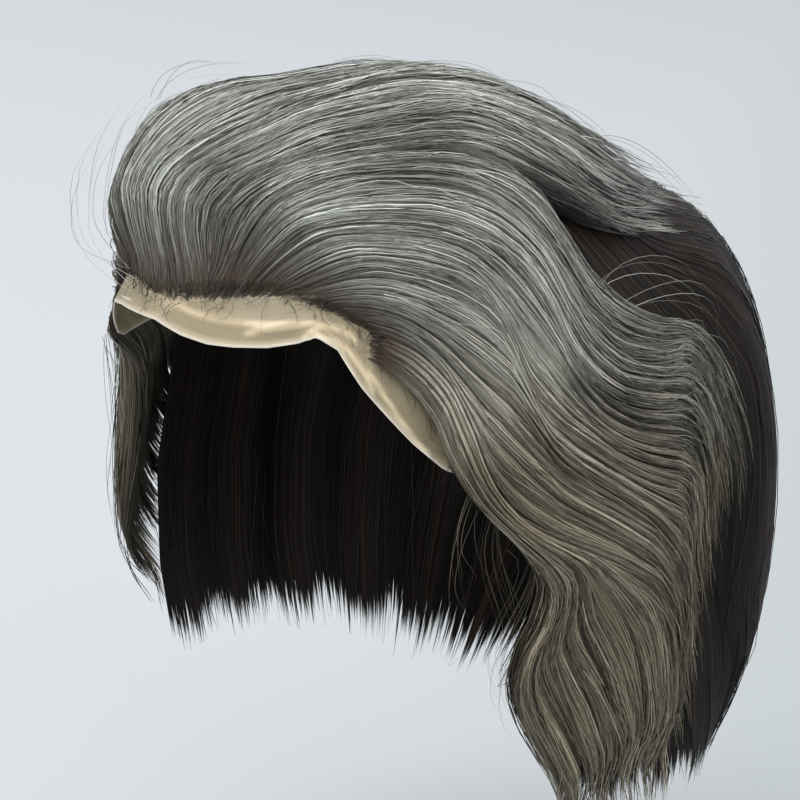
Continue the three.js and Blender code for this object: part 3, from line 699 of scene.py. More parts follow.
def swept_hairs(name, paths, values, material, seed, look):
    """One mesh of closed thin tubes along the given paths, an array of hair, point and axis."""
    hairs, points = paths.shape[:2]
    index = np.arange(hairs * points).reshape(hairs, points)
    edges = np.stack([index[:, :-1], index[:, 1:]], -1).reshape(-1, 2)
    flat = {key: v.reshape(-1, 3) if np.ndim(v) == 3 else np.broadcast_to(v, (hairs, points)).ravel()
            for key, v in values.items()}
    item = put_mesh(name, paths.reshape(-1, 3), edges=edges, attributes=flat)
    group, sockets = strand_tree(material, seed, look)
    modifier = item.modifiers.new("Sweep", "NODES")
    modifier.node_group = group
    for key, value in sockets.items():
        modifier[key] = value
    view = bpy.context.evaluated_depsgraph_get()
    swept = bpy.data.meshes.new_from_object(item.evaluated_get(view))
    item.modifiers.clear()
    old = item.data
    item.data = swept
    bpy.data.meshes.remove(old)
    swept.name = name
    return item


def painted_light_and_shade(turn, drop):
    """Painted light and shade at a place on the scalp, as a change of tone from the table of patches."""
    here = on_scalp(turn, drop, 0.0)
    total = np.zeros(np.shape(turn))
    for patch_turn, patch_drop, reach, change in PAINTED_LIGHT_PATCHES:
        middle = on_scalp(patch_turn, patch_drop, 0.0)
        total = total + change * np.exp(-(np.linalg.norm(here - middle, axis=-1) / (1.6 * reach)) ** 2)
    return total


def warmth(turn, drop):
    """0 on top, where the grey is neutral, to 1 at the sides, where it is warmer."""
    return smooth(drop + 6 * np.sin(np.radians(turn * 2)), 46, 90)


def hanging_wall(along):
    """Depth of a body of hair where it hangs free of the scalp."""
    return HANGING_DEPTH * (1 - HANGING_TAPER * smooth(along, 0.45, 0.9)) - SHEET_INSET


def sheet_underside(drop, along, top, low):
    """Height of the underside of a body of hair, which leaves the scalp where the hair hangs."""
    return low + smooth(drop, *HANG_DROPS) * np.maximum(top - low - hanging_wall(along), 0)


def closer_in_bends(course, count):
    """Shares of the length for the few points of each hair, closer together where it bends."""
    dense = np.linspace(0, 1, PATH_SAMPLES)[None] * np.ones((count, 1))
    steps = np.diff(course(dense), axis=1)
    size = np.linalg.norm(steps, axis=-1)
    heading = steps / np.maximum(size, 1e-6)[..., None]
    bend = np.arccos(np.clip((heading[:, 1:] * heading[:, :-1]).sum(-1), -1, 1))
    bend = np.minimum(np.pad(bend, ((0, 0), (1, 0))), 0.5) + 1e-3
    size, bend = (part / part.sum(1, keepdims=True) for part in (size, bend))
    weight = (1 - BEND_SHARE) * size + BEND_SHARE * bend
    passed = np.pad(np.cumsum(weight, axis=1), ((0, 0), (1, 0)))
    wanted = np.linspace(0, 1, STRAND_POINTS)
    return np.stack([np.interp(wanted, row, dense[0]) for row in passed])


def combed_paths(body, count, seed, reach=(-0.08, 1.06)):
    """Paths of single hairs over a body of hair, drawn together into locks and finer wisps."""
    rng = np.random.default_rng(seed)
    lock = np.searchsorted(body.edges, rng.uniform(0, 1, count), side="right") - 1
    start, end = body.edges[lock], body.edges[lock + 1]
    wisp_total = WISPS * (len(body.edges) - 1)
    wisp = rng.integers(0, WISPS, count)
    group = lock * WISPS + wisp
    wisp_place = -1 + (2 * wisp + 1) / WISPS + rng.normal(0, 0.07, wisp_total)[group]
    own = np.clip(wisp_place + rng.uniform(-0.45, 0.45, count), -1.1, 1.1)
    length = rng.uniform(*HAIR_SHARES, count)
    middle = rng.uniform(*reach, count)
    first = np.maximum(middle - length / 2, 0) + rng.uniform(-0.014, 0.025, count)
    wisp_end = 0.035 - np.abs(rng.normal(0, 0.06, wisp_total))[group]
    last = np.minimum(middle + length / 2, 1.0 + rng.uniform(-0.1, 0.04, count) + wisp_end)
    last = np.maximum(last, first + LEAST_SHARE)
    first = np.minimum(first, last - LEAST_SHARE)
    # The hairs of a wisp share its wave, its height and the flick of its tip.
    phase = rng.uniform(0, 2 * np.pi, wisp_total)[group][:, None]
    pitch = rng.uniform(0.8, 1.8, wisp_total)[group][:, None]
    crossing = rng.normal(0, 0.3, count)[:, None]
    stray = ((rng.uniform(0, 1, count) < 0.16) * rng.normal(0, 0.08, count))[:, None]
    layer = (rng.uniform(-0.6, 0.6, count) + 0.4 * rng.normal(0, 1, wisp_total)[group])[:, None]
    end_lift = rng.normal(0.0, 0.5, count)[:, None] + (np.abs(stray) > 0) * 0.8
    flick = rng.normal(0.5, 1.1, wisp_total)[group][:, None]
    # Some hairs lie inside the hanging hair, or down the two sides of the body.
    chance = rng.uniform(0, 1, count)[:, None]
    deepness = rng.uniform(0, 0.9, count)[:, None]
    free_start = (first > 0.04)[:, None]

    def course(t):
        """Places and points of all hairs at shares of their length, and which hairs lie inside."""
        along = first[:, None] + (last - first)[:, None] * t
        drawn = 0.05 + 0.4 * smooth(along, 0.0, 0.5) + 0.4 * smooth(along, 0.55, 1.0)
        within = wisp_place[:, None] + (own - wisp_place)[:, None] * (1 - drawn)
        within = within * (1 - 0.35 * smooth(along, 0.6, 1.05))
        within = within + 0.25 * smooth(along, 0.03, 0.3) * np.sin(2 * np.pi * pitch * along + phase)
        within = within + crossing * (t - 0.5) * smooth(along, 0.0, 0.15)
        across = ((start + end) / 2)[:, None] + (end - start)[:, None] / 2 * within
        across = np.clip(across + stray * t, -0.02, 1.02)
        turn, drop, top, low = body.surface(along, across)
        rise = smooth(along, 0, ROOT_RAMP)
        lift = top + layer * (0.25 + 0.75 * rise) - free_start * 1.6 * (1 - smooth(t, 0, 0.22))
        lift = lift + end_lift * smooth(t, 0.55, 1) + flick * smooth(along, 0.82, 1.05)
        lift = np.maximum(lift, low - 0.4 - (1 - rise) * 0.3)
        rooted = FILM_WALL + 0.1 + 240 * np.maximum(along, 0)
        lift = np.where(free_start, lift, np.minimum(lift, rooted))
        inner = (chance < INNER_SHARE) & (drop.max(axis=1, keepdims=True) > 96)
        lift = np.where(inner, sheet_underside(drop, along, top, low) - 0.25, lift)
        depth = deepness * np.minimum(top - low, hanging_wall(along))
        on_side = (chance > 1 - SIDE_SHARE) & (last < 0.99)[:, None]
        side_across = np.where(chance > 1 - SIDE_SHARE / 2, 1.008, -0.008)
        side_across = side_across + 0.01 * np.sin(9 * along + phase)
        turn_side, drop_side, top_side, _ = body.surface(along, side_across)
        lift = np.where(on_side, top_side - depth * smooth(along, 0.02, 0.3), lift)
        turn, drop = np.where(on_side, turn_side, turn), np.where(on_side, drop_side, drop)
        return along, across, turn, drop, on_scalp(turn, drop, lift), inner

    t = closer_in_bends(lambda t: course(t)[4], count)
    along, across, turn, drop, points, inner = course(t)
    spread = HAIR_MIX[rng.choice(len(HAIR_MIX), count, p=HAIR_MIX[:, 1]), 0]
    tone = 0.5 + spread + rng.normal(0, 0.06, count) + rng.normal(0, 0.12, wisp_total)[group]
    # The hair's own tone, with painted light and shade from the patches added.
    tone = tone[:, None] + painted_light_and_shade(turn, drop)
    tip = 1 - 0.72 * smooth(t, 0.65, 1) - 0.5 * (1 - smooth(t, 0, 0.3))
    thick = rng.uniform(0.7, 1.25, count)[:, None] * tip
    loose = smooth(along, 0.0, 0.2) * rng.uniform(0.3, 1.5, count)[:, None]
    normal = combed_normals(body, along, across)
    normal = np.where(inner[..., None], -normal, normal) + rng.normal(0, 0.1, (wisp_total, 1, 3))[group]
    values = {"tone": tone, "from_root": along * body.length, "thick": thick, "loose": loose,
              "warm": warmth(turn, drop), "out": normal}
    return points, values


def body_sheet(body):
    """The closed body of hair that lies under a node's single hairs."""
    locks = len(body.edges) - 1
    columns = locks * LOCK_STEPS + 1
    across = np.interp(np.arange(columns) / LOCK_STEPS, np.arange(locks + 1), body.edges)
    across = (SHEET_MARGIN + (1 - 2 * SHEET_MARGIN) * across)[None] * np.ones((SHEET_ROWS, 1))
    groove = np.abs(body.in_lock(np.clip(across, 1e-6, 1 - 1e-6))) ** 3
    rng = np.random.default_rng(len(body.name))
    ends = 1.0 + 0.03 * rng.uniform(-1, 1, columns)[None] - TUFT_DEPTH * groove
    along = ends * np.linspace(0, 1, SHEET_ROWS)[:, None] ** 1.15
    turn, drop, top, low = body.surface(along, across)
    # Towards the tips the grooves between the locks part deeper, and their groove value darkens them there
    # as painted shade.
    parted = groove * smooth(along, 0.45, 0.8)
    deep = 0.4 + 0.3 * smooth(along, 0, 0.1) + 2.6 * parted + 2.0 * smooth(along, 0.85, 1.0)
    top = low + 0.35 + (np.maximum(top - deep, low + 0.4) - low - 0.35) * smooth(along, -0.005, 0.035)
    under = np.minimum(sheet_underside(drop, along, top, low), top - 0.3)
    comb = np.stack([across * locks / 8, along, np.full_like(along, locks)], -1)
    # Painted light and shade from the patches; on the inner side, painted shade that darkens further down
    # where the hair hangs.
    shift = painted_light_and_shade(turn, drop)
    values = {"comb": comb, "from_root": along * body.length, "warm": warmth(turn, drop), "shift": shift,
              "groove": parted, "cut": np.minimum(along / FADES[0], (ends - along) / FADES[1])}
    inner = {"shift": shift - 0.15 - 0.4 * smooth(drop, 70, 88), "comb": comb + np.array([0.2, 0, 0])}
    return closed_sheet(body.name + "_body", on_scalp(turn, drop, top), on_scalp(turn, drop, under), values,
                        inner)


def dress(piece, node):
    """Ties a piece to the frame in the place of a node."""
    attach(piece, "root")
    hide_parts(node)


def dress_bodies(rows, strand, under, look, seed):
    for number, (name, lines, locks, count) in enumerate(rows):
        body = Body(name, lines, locks)
        sheet = body_sheet(body)
        sheet.data.materials.append(under)
        dress(sheet, name)
        paths, values = combed_paths(body, count, seed + number)
        dress(swept_hairs(name + "_hairs", paths, values, strand, seed + number, look), name)


class LookSettings(bpy.types.PropertyGroup):
    """Sizes of the single hairs."""

    hair_width: bpy.props.FloatProperty(
        name="Hair width", description="Width of one swept hair", default=0.00028, unit="LENGTH")
    frizz: bpy.props.FloatProperty(
        name="Frizz", description="How far hairs wander from their path", default=0.0016, unit="LENGTH")
    frizz_size: bpy.props.FloatProperty(
        name="Frizz size", description="Length over which a hair wanders", default=0.018, unit="LENGTH")
    baby_hairs: bpy.props.IntProperty(
        name="Baby hairs", description="Short curled hairs along the hairline", default=400)
    flyaways: bpy.props.IntProperty(
        name="Flyaway hairs", description="Long hairs that stand off the locks", default=200)


def tint(name, description, red, green, blue):
    return bpy.props.FloatVectorProperty(name=name, description=description, subtype="COLOR", size=4,
                                         min=0, max=1, default=colour(red, green, blue))


class ColourSettings(bpy.types.PropertyGroup):
    """Colours of the hair, film and floor."""

    root: tint("Roots", "Hair where it leaves the film", 60, 43, 31)
    film: tint("Film", "The clear film cap", 240, 222, 184)
    floor: tint("Floor", "The pale floor", 180, 184, 187)
    # The darker floor tone is painted shade.
    floor_painted_shade: tint("Floor, far side", "The pale floor on the piece's left", 160, 166, 168)


for part, (place, *shades) in HAIR_COLOURS.items():
    for shade, values in zip(SHADES, shades):
        ColourSettings.__annotations__[f"{part}_{shade}"] = tint(
            f"{part.capitalize()}, {shade} hairs", f"The {shade} hairs {place}", *values)


def hair_tones(colours, part):
    return [getattr(colours, f"{part}_{shade}") for shade in SHADES]


def grey_materials(colours, name, under_gloss):
    """Materials of the grey single hairs and of the hair under them."""
    tones, side_tones = hair_tones(colours, "grey"), hair_tones(colours, "side")
    return (strand_material(name + "_hairs", tones, colours.root, gloss=0.35, side_tones=side_tones),
            body_material(name + "_under_hair", tones, colours.root, under_gloss, side_tones))


class HAIRPIECE_OT_grey_locks(bpy.types.Operator):
    """Builds the grey locks of the front and the top"""

    bl_idname = "hairpiece.grey_locks"
    bl_label = "Grey locks"

    def execute(self, context):
        strand, under = grey_materials(context.scene.hairpiece_colours, "grey", under_gloss=0.3)
        look = context.scene.hairpiece_look
        dress_bodies(GREY_BODIES, strand, under, look, GREY_SEED)
        parting = Body("parting", PARTING_LINES, PARTING_LOCKS)
        paths, values = combed_paths(parting, PARTING_HAIRS, PARTING_SEED, reach=(0, 0.34))
        cover = swept_hairs("parting_hairs", paths, values, strand, PARTING_SEED, look)
        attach(cover, "root")
        return {"FINISHED"}


class HAIRPIECE_OT_side_locks(bpy.types.Operator):
    """Builds the warmer grey locks of both sides"""

    bl_idname = "hairpiece.side_locks"
    bl_label = "Side locks"

    def execute(self, context):
        strand, under = grey_materials(context.scene.hairpiece_colours, "side", under_gloss=0.25)
        dress_bodies(SIDE_BODIES, strand, under, context.scene.hairpiece_look, SIDE_SEED)
        return {"FINISHED"}


def back_groove(share):
    """1 in the grooves between the locks of the back hair, 0 on the locks."""
    return np.abs(np.cos(np.pi * BACK_LOCKS * share)) ** 3


def back_surface(share, drop):
    """Turn, top and underside of the dark back hair at shares of its width."""
    left, right = back_edges(drop)
    around = left + (right - left) * share
    turn = np.where(around > 180, around - 360, around)
    top = under_height(turn, drop)
    low = FILM_WALL + SEAT_GAP
    groove = 1.6 * back_groove(share) * smooth(drop, TIP_DROPS[1], WIDEST_DROP)
    top = np.maximum(top - groove, low + LEAST_DEPTH)
    under = low + smooth(drop, *HANG_DROPS) * np.maximum(top - low - BACK_HANGING_DEPTH, 0)
    return turn, top, under


def back_sheet(rng):
    """The closed body of dark under-hair."""
    rows, columns = BACK_GRID
    share = np.linspace(0, 1, columns)[None] * np.ones((rows, 1))
    groove = back_groove(share)
    ends = LOWEST_DROP - 2 * groove + rng.uniform(-1, 0, columns)[None]
    drop = BACK_TOP + (ends - BACK_TOP) * np.linspace(0, 1, rows)[:, None]
    turn, top, under = back_surface(share, drop)
    comb = np.stack([share * 3, (drop - BACK_TOP) / (LOWEST_DROP - BACK_TOP), np.ones_like(drop)], -1)
    # Tone in the grooves between the back locks: a little lighter, and lower down darker as painted shade.
    values = {"comb": comb, "from_root": np.full_like(drop, NO_ROOT), "shift": 0.1 * groove,
              "groove": groove * smooth(drop, 60, 100), "cut": (ends - drop) / 9}
    return closed_sheet("back_hair_body", on_scalp(turn, drop, top - 0.5),
                        on_scalp(turn, drop, np.minimum(under + 0.8, top - 0.9)), values, {})


def back_paths(count, rng):
    """Paths of the dark single hairs, some of them inside, where the hair hangs free of the scalp."""
    t = np.linspace(0, 1, STRAND_POINTS)[None]
    length = rng.uniform(*BACK_LENGTHS, count)
    middle = rng.uniform(BACK_TOP, LOWEST_DROP + 10, count)
    first = np.maximum(middle - length / 2, BACK_TOP + 2)
    last = np.minimum(middle + length / 2, LOWEST_DROP + rng.uniform(-8, 0.5, count))
    first = np.minimum(first, last - 25)
    drop = first[:, None] + (last - first)[:, None] * t
    share = rng.uniform(0.01, 0.99, count)[:, None]
    share = share + 0.006 * np.sin(drop / 14 + rng.uniform(0, 6, count)[:, None])
    share = np.clip(share + rng.normal(0, 0.012, count)[:, None] * t, 0.002, 0.998)
    turn, top, under = back_surface(share, drop)
    out = on_scalp(turn, drop, top + 1) - on_scalp(turn, drop, top)
    inner = (rng.uniform(0, 1, count) < 0.3)[:, None] & (drop > WIDEST_DROP)
    out = np.where(inner[..., None], -out, out) + rng.normal(0, 0.12, (count, 1, 3))
    outer = top + rng.uniform(-0.6, 0.4, count)[:, None] - 1.2 * (1 - smooth(t, 0, 0.2))
    lift = np.where(inner, under + 0.3, outer)
    values = {"tone": rng.uniform(0.0, 0.9, count)[:, None], "from_root": np.full_like(drop, NO_ROOT),
              "thick": rng.uniform(0.7, 1.2, count)[:, None] * (1 - 0.7 * smooth(t, 0.75, 1)),
              "loose": np.full_like(drop, 0.6), "out": out}
    return on_scalp(turn, drop, lift), values


class HAIRPIECE_OT_back_hair(bpy.types.Operator):
    """Builds the smooth dark hair of the back, down to the nape"""

    bl_idname = "hairpiece.back_hair"
    bl_label = "Back hair"

    def execute(self, context):
        colours = context.scene.hairpiece_colours
        tones = hair_tones(colours, "back")
        rng = np.random.default_rng(BACK_SEED)
        sheet = back_sheet(rng)
        under = body_material("back_under_hair", tones, colours.back_dark, gloss=0.12)
        sheet.data.materials.append(under)
        dress(sheet, "back_hair")
        paths, values = back_paths(BACK_HAIRS, rng)
        strand = strand_material("back_hairs", tones, colours.back_dark, gloss=0.22)
        hairs = swept_hairs("back_hair_hairs", paths, values, strand, BACK_SEED,
                            context.scene.hairpiece_look)
        dress(hairs, "back_hair")
        return {"FINISHED"}


def loose_values(turn, drop, lift, tone, thick, loose, rng):
    """Values stored along loose hairs, which thin out towards both ends."""
    count = len(turn)
    t = np.linspace(0, 1, turn.shape[1])[None]
    tip = 1 - 0.75 * smooth(t, 0.5, 1)
    out = on_scalp(turn, drop, lift + 1) - on_scalp(turn, drop, lift) + rng.normal(0, 0.25, (count, 1, 3))
    return {"tone": tone[:, None], "from_root": np.full_like(turn, NO_ROOT), "thick": thick[:, None] * tip,
            "loose": np.full_like(turn, loose), "warm": warmth(turn, drop), "out": out}


def joined(parts, values):
    """Paths and values of several groups of hairs as one."""
    return np.concatenate(parts), {key: np.concatenate([v[key] for v in values]) for key in values[0]}


def baby_paths(count, seed):
    """Short curled hairs along the hairline, from the right temple to the left one."""
    rng = np.random.default_rng(seed)
    bodies = {row[0]: Body(*row[:3]) for row in GREY_BODIES + SIDE_BODIES}
    roots, ways = [], []
    for name, share, side in BABY_ROWS:
        body = bodies[name]
        number = int(count * share)
        if side:
            along = rng.uniform(0.01, 0.36, number)
            across = rng.uniform(-0.03, 0.04, number)
        else:
            along = rng.normal(-0.004, 0.014, number)
            across = rng.uniform(0, 1, number)
        spot, ahead = (flat_map(*body.place(along + step, across)) for step in (0, 0.02))
        roots.append(spot)
        way = np.arctan2(*(ahead - spot).T[::-1])
        ways.append(way + (rng.uniform(-1.0, 0.3, number) if side else rng.normal(0, 0.75, number)))
    root, way = np.concatenate(roots), np.concatenate(ways)
    number = len(root)
    length = rng.uniform(2.0, 6.5, number)
    curl = rng.normal(0, 3.0, number)
    t = np.linspace(0, 1, STRAND_POINTS)[None]
    angle = way[:, None] + curl[:, None] * t**1.3
    step = length[:, None] / (STRAND_POINTS - 1)
    flat = root[:, None] + np.cumsum(np.stack([np.cos(angle), np.sin(angle)], -1) * step[..., None], axis=1)
    turn, drop = from_map(flat)
    rise = rng.uniform(0.2, 2.8, number)[:, None]
    lift = FILM_WALL + 0.15 + rise * np.sin(np.pi * np.minimum(t * 0.75, 1))
    tone = rng.uniform(0.0, 0.45, number)
    thick = rng.uniform(0.35, 0.6, number)
    return on_scalp(turn, drop, lift), loose_values(turn, drop, lift, tone, thick, 0.5, rng)


def flyaway_paths(count, seed):
    """Long hairs that stand off the combed locks."""
    rng = np.random.default_rng(seed)
    parts, values = [], []
    rows = GREY_BODIES + SIDE_BODIES
    for number, (name, lines, locks, share) in enumerate(rows):
        body = Body(name, lines, locks)
        hairs = int(count * share / sum(row[3] for row in rows))
        t = np.linspace(0, 1, STRAND_POINTS)[None]
        length = rng.uniform(0.2, 0.4, hairs)[:, None]
        first = rng.uniform(0.1, 0.75, hairs)[:, None]
        along = np.minimum(first + length * t, 1.12)
        across = rng.uniform(0.02, 0.98, hairs)[:, None] + rng.normal(0, 0.16, hairs)[:, None] * t**1.5
        across = across + 0.03 * np.sin(5 * t + rng.uniform(0, 6, hairs)[:, None])
        turn, drop, top, _ = body.surface(along, np.clip(across, -0.04, 1.04))
        lift = top - 0.8 + rng.uniform(0.8, 6.5, hairs)[:, None] * np.sin(np.pi * (0.04 + 0.8 * t)) ** 1.2
        parts.append(on_scalp(turn, drop, lift))
        tone = rng.uniform(0.1, 0.95, hairs)
        values.append(loose_values(turn, drop, lift, tone, rng.uniform(0.35, 0.6, hairs), 1.5, rng))
    return joined(parts, values)


def wisp_paths(table, copies, spread, tones, seed):
    """Loose hairs through rows of turn, drop and lift, each with a few neighbours. The spread is in
    turn, drop and lift too."""
    rng = np.random.default_rng(seed)
    spread = np.array(spread)
    parts, values = [], []
    for rows in table:
        knots = np.array(rows, float)
        t = np.linspace(0, 1, STRAND_POINTS)
        at = np.linspace(0, 1, len(knots))
        course = np.stack([np.polynomial.Polynomial.fit(at, knots[:, k], min(len(knots) - 1, 4))(t)
                           for k in range(3)], -1)
        start = rng.normal(0, 1, (copies, 1, 3)) * spread * 0.6
        drift = rng.normal(0, 1, (copies, 1, 3)) * spread
        bow = rng.normal(0, 1, (copies, 1, 3)) * spread * 0.7
        course = course[None] + start + drift * t[None, :, None] + bow * np.sin(np.pi * t)[None, :, None]
        turn, drop, lift = course[..., 0], course[..., 1], np.maximum(course[..., 2], 1.2)
        parts.append(on_scalp(turn, drop, lift))
        tone = rng.uniform(*tones, copies)
        values.append(loose_values(turn, drop, lift, tone, rng.uniform(0.35, 0.6, copies), 0.3, rng))
    return joined(parts, values)


class HAIRPIECE_OT_loose_hairs(bpy.types.Operator):
    """Builds the curled baby hairs of the hairline, the flyaway hairs and the wisps below the temples"""

    bl_idname = "hairpiece.loose_hairs"
    bl_label = "Loose hairs"

    def execute(self, context):
        colours, look = context.scene.hairpiece_colours, context.scene.hairpiece_look
        tones, side_tones = hair_tones(colours, "grey"), hair_tones(colours, "side")
        strand = strand_material("loose_hairs", tones, colours.root, gloss=0.4, side_tones=side_tones)
        young = strand_material("baby_hairs", hair_tones(colours, "back"), colours.root, gloss=0.3)
        baby = baby_paths(look.baby_hairs, LOOSE_SEED)
        flyaway = flyaway_paths(look.flyaways, LOOSE_SEED + 1)
        loops = wisp_paths(LOOPS, 3, spread=(2.2, 1.6, 1.0), tones=(0.4, 0.9), seed=LOOSE_SEED + 2)
        wisps = wisp_paths(EAR_WISPS, 7, spread=(1.6, 2.2, 0.8), tones=(0.05, 0.6), seed=LOOSE_SEED + 3)
        rows = (
            ("baby_hairs", baby, young, "dark_hair"),
            ("flyaway_hairs", flyaway, strand, "grey_hair"),
            ("quiff_loops", loops, strand, "grey_hair"),
            ("ear_wisps", wisps, strand, "side_hair"),
        )
        for number, (name, (paths, values), material, slot) in enumerate(rows):
            piece = swept_hairs(name, paths, values, material, LOOSE_SEED + number, look)
            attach(piece, "root")
        return {"FINISHED"}


def film_material(name, tone):
    """Clear film: pale where it is seen edge on; whiter and more opaque along its cut edge, partly the
    film's own paler edge and partly painted highlight, and along its creases as painted highlight.
    """
    material, tree = new_material(name)
    edge = tree.attribute("edge")
    crease = tree.attribute("crease")
    where = tree.node("ShaderNodeTexCoord", output="Object")
    cloud = tree.noise(where, 70.0, 3.0)
    # Creases and the cut edge are more opaque and whiter: painted highlight, and at the edge also the
    # film's own paler edge.
    alpha = 0.17 + edge * 0.5 + crease * 0.3 + (cloud - 0.5) * 0.08
    bump = tree.node("ShaderNodeBump", {}, {"Strength": 0.4, "Distance": 0.0006, "Height": cloud})
    finish_material(tree, Base_Color=tree.mix(edge, tuple(tone), (0.9, 0.86, 0.76, 1.0)),
                    Roughness=0.24 + cloud * 0.1, Alpha=alpha, Normal=bump, Specular_IOR_Level=0.5)
    return material


def film_folds(turn, drop):
    """Height of the film's outside over the scalp, and how sharply it is creased there."""
    flat = flat_map(turn, drop)
    lift, crease = np.full_like(drop, FILM_WALL), np.zeros_like(drop)
    for knots, height, width in FILM_FOLDS:
        away = np.linalg.norm(flat[:, :, None] - Line(knots).points, axis=-1).min(-1)
        lift = np.maximum(lift, FILM_WALL + height * np.exp(-(away / width) ** 2))
        crease = np.maximum(crease, np.exp(-(away / (0.45 * width)) ** 2))
    return lift, crease


class HAIRPIECE_OT_film_cap(bpy.types.Operator):
    """Builds the clear film cap with its wrinkled, scalloped front border"""

    bl_idname = "hairpiece.film_cap"
    bl_label = "Film cap"

    def execute(self, context):
        places = len(FILM_TURNS)
        share = FILM_ROWS[:, None] * np.ones(places)
        turn = FILM_TURNS[None] * np.ones((len(FILM_ROWS), 1))
        drop = np.interp(turn, FILM_EDGE[:, 0], FILM_EDGE[:, 1]) * share
        lift, crease = film_folds(turn, drop)
        index = np.arange(turn.size).reshape(turn.shape)
        wrapped = np.concatenate([index, index[:, :1]], 1)
        corners = (wrapped[:-1, :-1], wrapped[1:, :-1], wrapped[1:, 1:], wrapped[:-1, 1:])
        quads = np.stack(corners, -1).reshape(-1, 4)
        count = turn.size
        rim = wrapped[-1]
        cut_edge = np.stack([rim[:-1], rim[:-1] + count, rim[1:] + count, rim[1:]], -1)
        half = np.arange(places // 2 - 1)
        lid = np.stack([half, half + 1, places - half - 2, places - half - 1], -1)
        points = np.concatenate([on_scalp(turn, drop, lift).reshape(-1, 3),
                                 on_scalp(turn, drop, lift - FILM_SHEET).reshape(-1, 3)])
        faces = np.concatenate([quads, quads[:, ::-1] + count, cut_edge, lid, lid[:, ::-1] + count])
        values = {"edge": smooth(share, FILM_RIM, 1.0), "crease": crease}
        doubled = {key: np.concatenate([v.ravel()] * 2) for key, v in values.items()}
        cap = put_mesh("film_cap", points, faces=faces, attributes=doubled)
        cap.data.shade_smooth()
        cap.data.materials.append(film_material("film", context.scene.hairpiece_colours.film))
        dress(cap, "skin_base")
        return {"FINISHED"}


class StageSettings(bpy.types.PropertyGroup):
    """Floor and lights."""

    floor_height: bpy.props.FloatProperty(
        name="Floor height", description="Height of the floor, below the origin", default=-0.30,
        unit="LENGTH")
    key_power: bpy.props.FloatProperty(
        name="Key light", description="Power of the large soft light", default=140.0, unit="POWER")
    fill_power: bpy.props.FloatProperty(
        name="Fill light", description="Power of the light from the other side", default=14.0, unit="POWER")
    sky: bpy.props.FloatProperty(
        name="Sky", description="Strength of the even light from all round", default=1.02)


def lay_floor(height, near, far):
    """A pale floor with two tones that fade into each other, the darker one painted shade."""
    corners = FLOOR_REACH * 1000 * np.array([[-1, -1], [1, -1], [1, 1], [-1, 1]], float)
    points = np.column_stack([corners, np.full(4, height * 1000)])
    floor = put_mesh("floor", points, faces=np.array([[0, 1, 2, 3]]))
    material, tree = new_material("floor_paper")
    where = tree.node("ShaderNodeTexCoord", output="Object")
    sideways = tree.node("ShaderNodeVectorMath", {"operation": "DOT_PRODUCT"},
                         {0: where, 1: FLOOR_WAY}, output=1)
    # The far tone is painted shade.
    shade = tree.mix(tree.limit(sideways, *FLOOR_FADE), tuple(near), tuple(far))
    finish_material(tree, Base_Color=shade, Roughness=0.9)
    floor.data.materials.append(material)


def hang_light(name, place, size, power):
    light = bpy.data.lights.new(name, "AREA")
    light.size = size
    light.energy = power
    item = bpy.data.objects.new(name, light)
    bpy.context.scene.collection.objects.link(item)
    item.location = place
    item.rotation_euler = (LIGHTS_AIM - Vector(place)).to_track_quat("-Z", "Y").to_euler()


def even_sky(strength):
    world = bpy.data.worlds.new("sky")
    world.use_nodes = True
    background = world.node_tree.nodes["Background"].inputs
    background["Color"].default_value = SKY_TINT
    background["Strength"].default_value = strength
    return world


def set_camera():
    """The camera, to the front and left of the piece and a little above it."""
    azimuth, height, roll = (math.radians(angle) for angle in CAMERA_ANGLES)
    back = Vector((math.sin(azimuth) * math.cos(height), -math.cos(azimuth) * math.cos(height),
                   math.sin(height)))
    right = Vector((math.cos(azimuth), math.sin(azimuth), 0))
    up = back.cross(right)
    across = right * math.cos(roll) + up * math.sin(roll)
    upward = up * math.cos(roll) - right * math.sin(roll)
    camera = bpy.data.objects.new("camera", bpy.data.cameras.new("camera"))
    bpy.context.scene.collection.objects.link(camera)
    turned = Matrix((across, upward, back)).transposed().to_4x4()
    camera.matrix_world = Matrix.Translation(CAMERA_AIM + back * CAMERA_DISTANCE) @ turned
    for key, value in CAMERA_LENS.items():
        setattr(camera.data, key, value)
    return camera


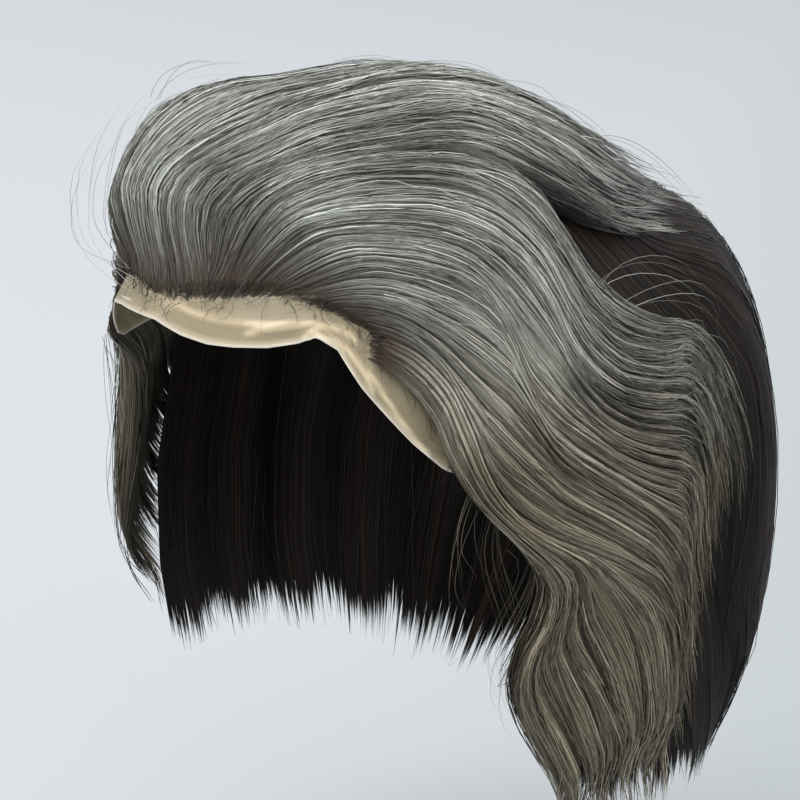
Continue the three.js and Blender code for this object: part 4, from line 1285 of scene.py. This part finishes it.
class HAIRPIECE_OT_stage(bpy.types.Operator):
    """Builds the pale floor, the soft lights and the camera"""

    bl_idname = "hairpiece.stage"
    bl_label = "Stage"

    def execute(self, context):
        scene = context.scene
        stage, colours = scene.hairpiece_stage, scene.hairpiece_colours
        lay_floor(stage.floor_height, colours.floor, colours.floor_painted_shade)
        scene.world = even_sky(stage.sky)
        scene.view_settings.view_transform = "Standard"
        hang_light("key", *KEY_LIGHT, stage.key_power)
        hang_light("fill", *FILL_LIGHT, stage.fill_power)
        scene.camera = set_camera()
        return {"FINISHED"}


class VIEW3D_PT_hairpiece(bpy.types.Panel):
    """Lists the pieces and their settings"""

    bl_idname = "VIEW3D_PT_hairpiece"
    bl_label = "Hairpiece"
    bl_space_type = "VIEW_3D"
    bl_region_type = "UI"
    bl_category = "Hairpiece"

    def draw(self, context):
        for settings in (context.scene.hairpiece_look, context.scene.hairpiece_colours,
                         context.scene.hairpiece_stage):
            box = self.layout.box()
            for key in settings.__annotations__:
                box.prop(settings, key)
        for operator in OPERATORS:
            self.layout.operator(operator.bl_idname)


SETTINGS = {"hairpiece_look": LookSettings, "hairpiece_colours": ColourSettings,
            "hairpiece_stage": StageSettings}
OPERATORS = (HAIRPIECE_OT_film_cap, HAIRPIECE_OT_back_hair, HAIRPIECE_OT_grey_locks,
             HAIRPIECE_OT_side_locks, HAIRPIECE_OT_loose_hairs, HAIRPIECE_OT_stage)


def register():
    for entry in (*SETTINGS.values(), *OPERATORS, VIEW3D_PT_hairpiece):
        bpy.utils.register_class(entry)
    for name, group in SETTINGS.items():
        setattr(bpy.types.Scene, name, bpy.props.PointerProperty(type=group))


def unregister():
    for name in SETTINGS:
        delattr(bpy.types.Scene, name)
    for entry in reversed((*SETTINGS.values(), *OPERATORS, VIEW3D_PT_hairpiece)):
        bpy.utils.unregister_class(entry)


def main():
    register()
    for operator in OPERATORS:
        group, name = operator.bl_idname.split(".")
        getattr(getattr(bpy.ops, group), name)()


if __name__ == "__main__":
    main()
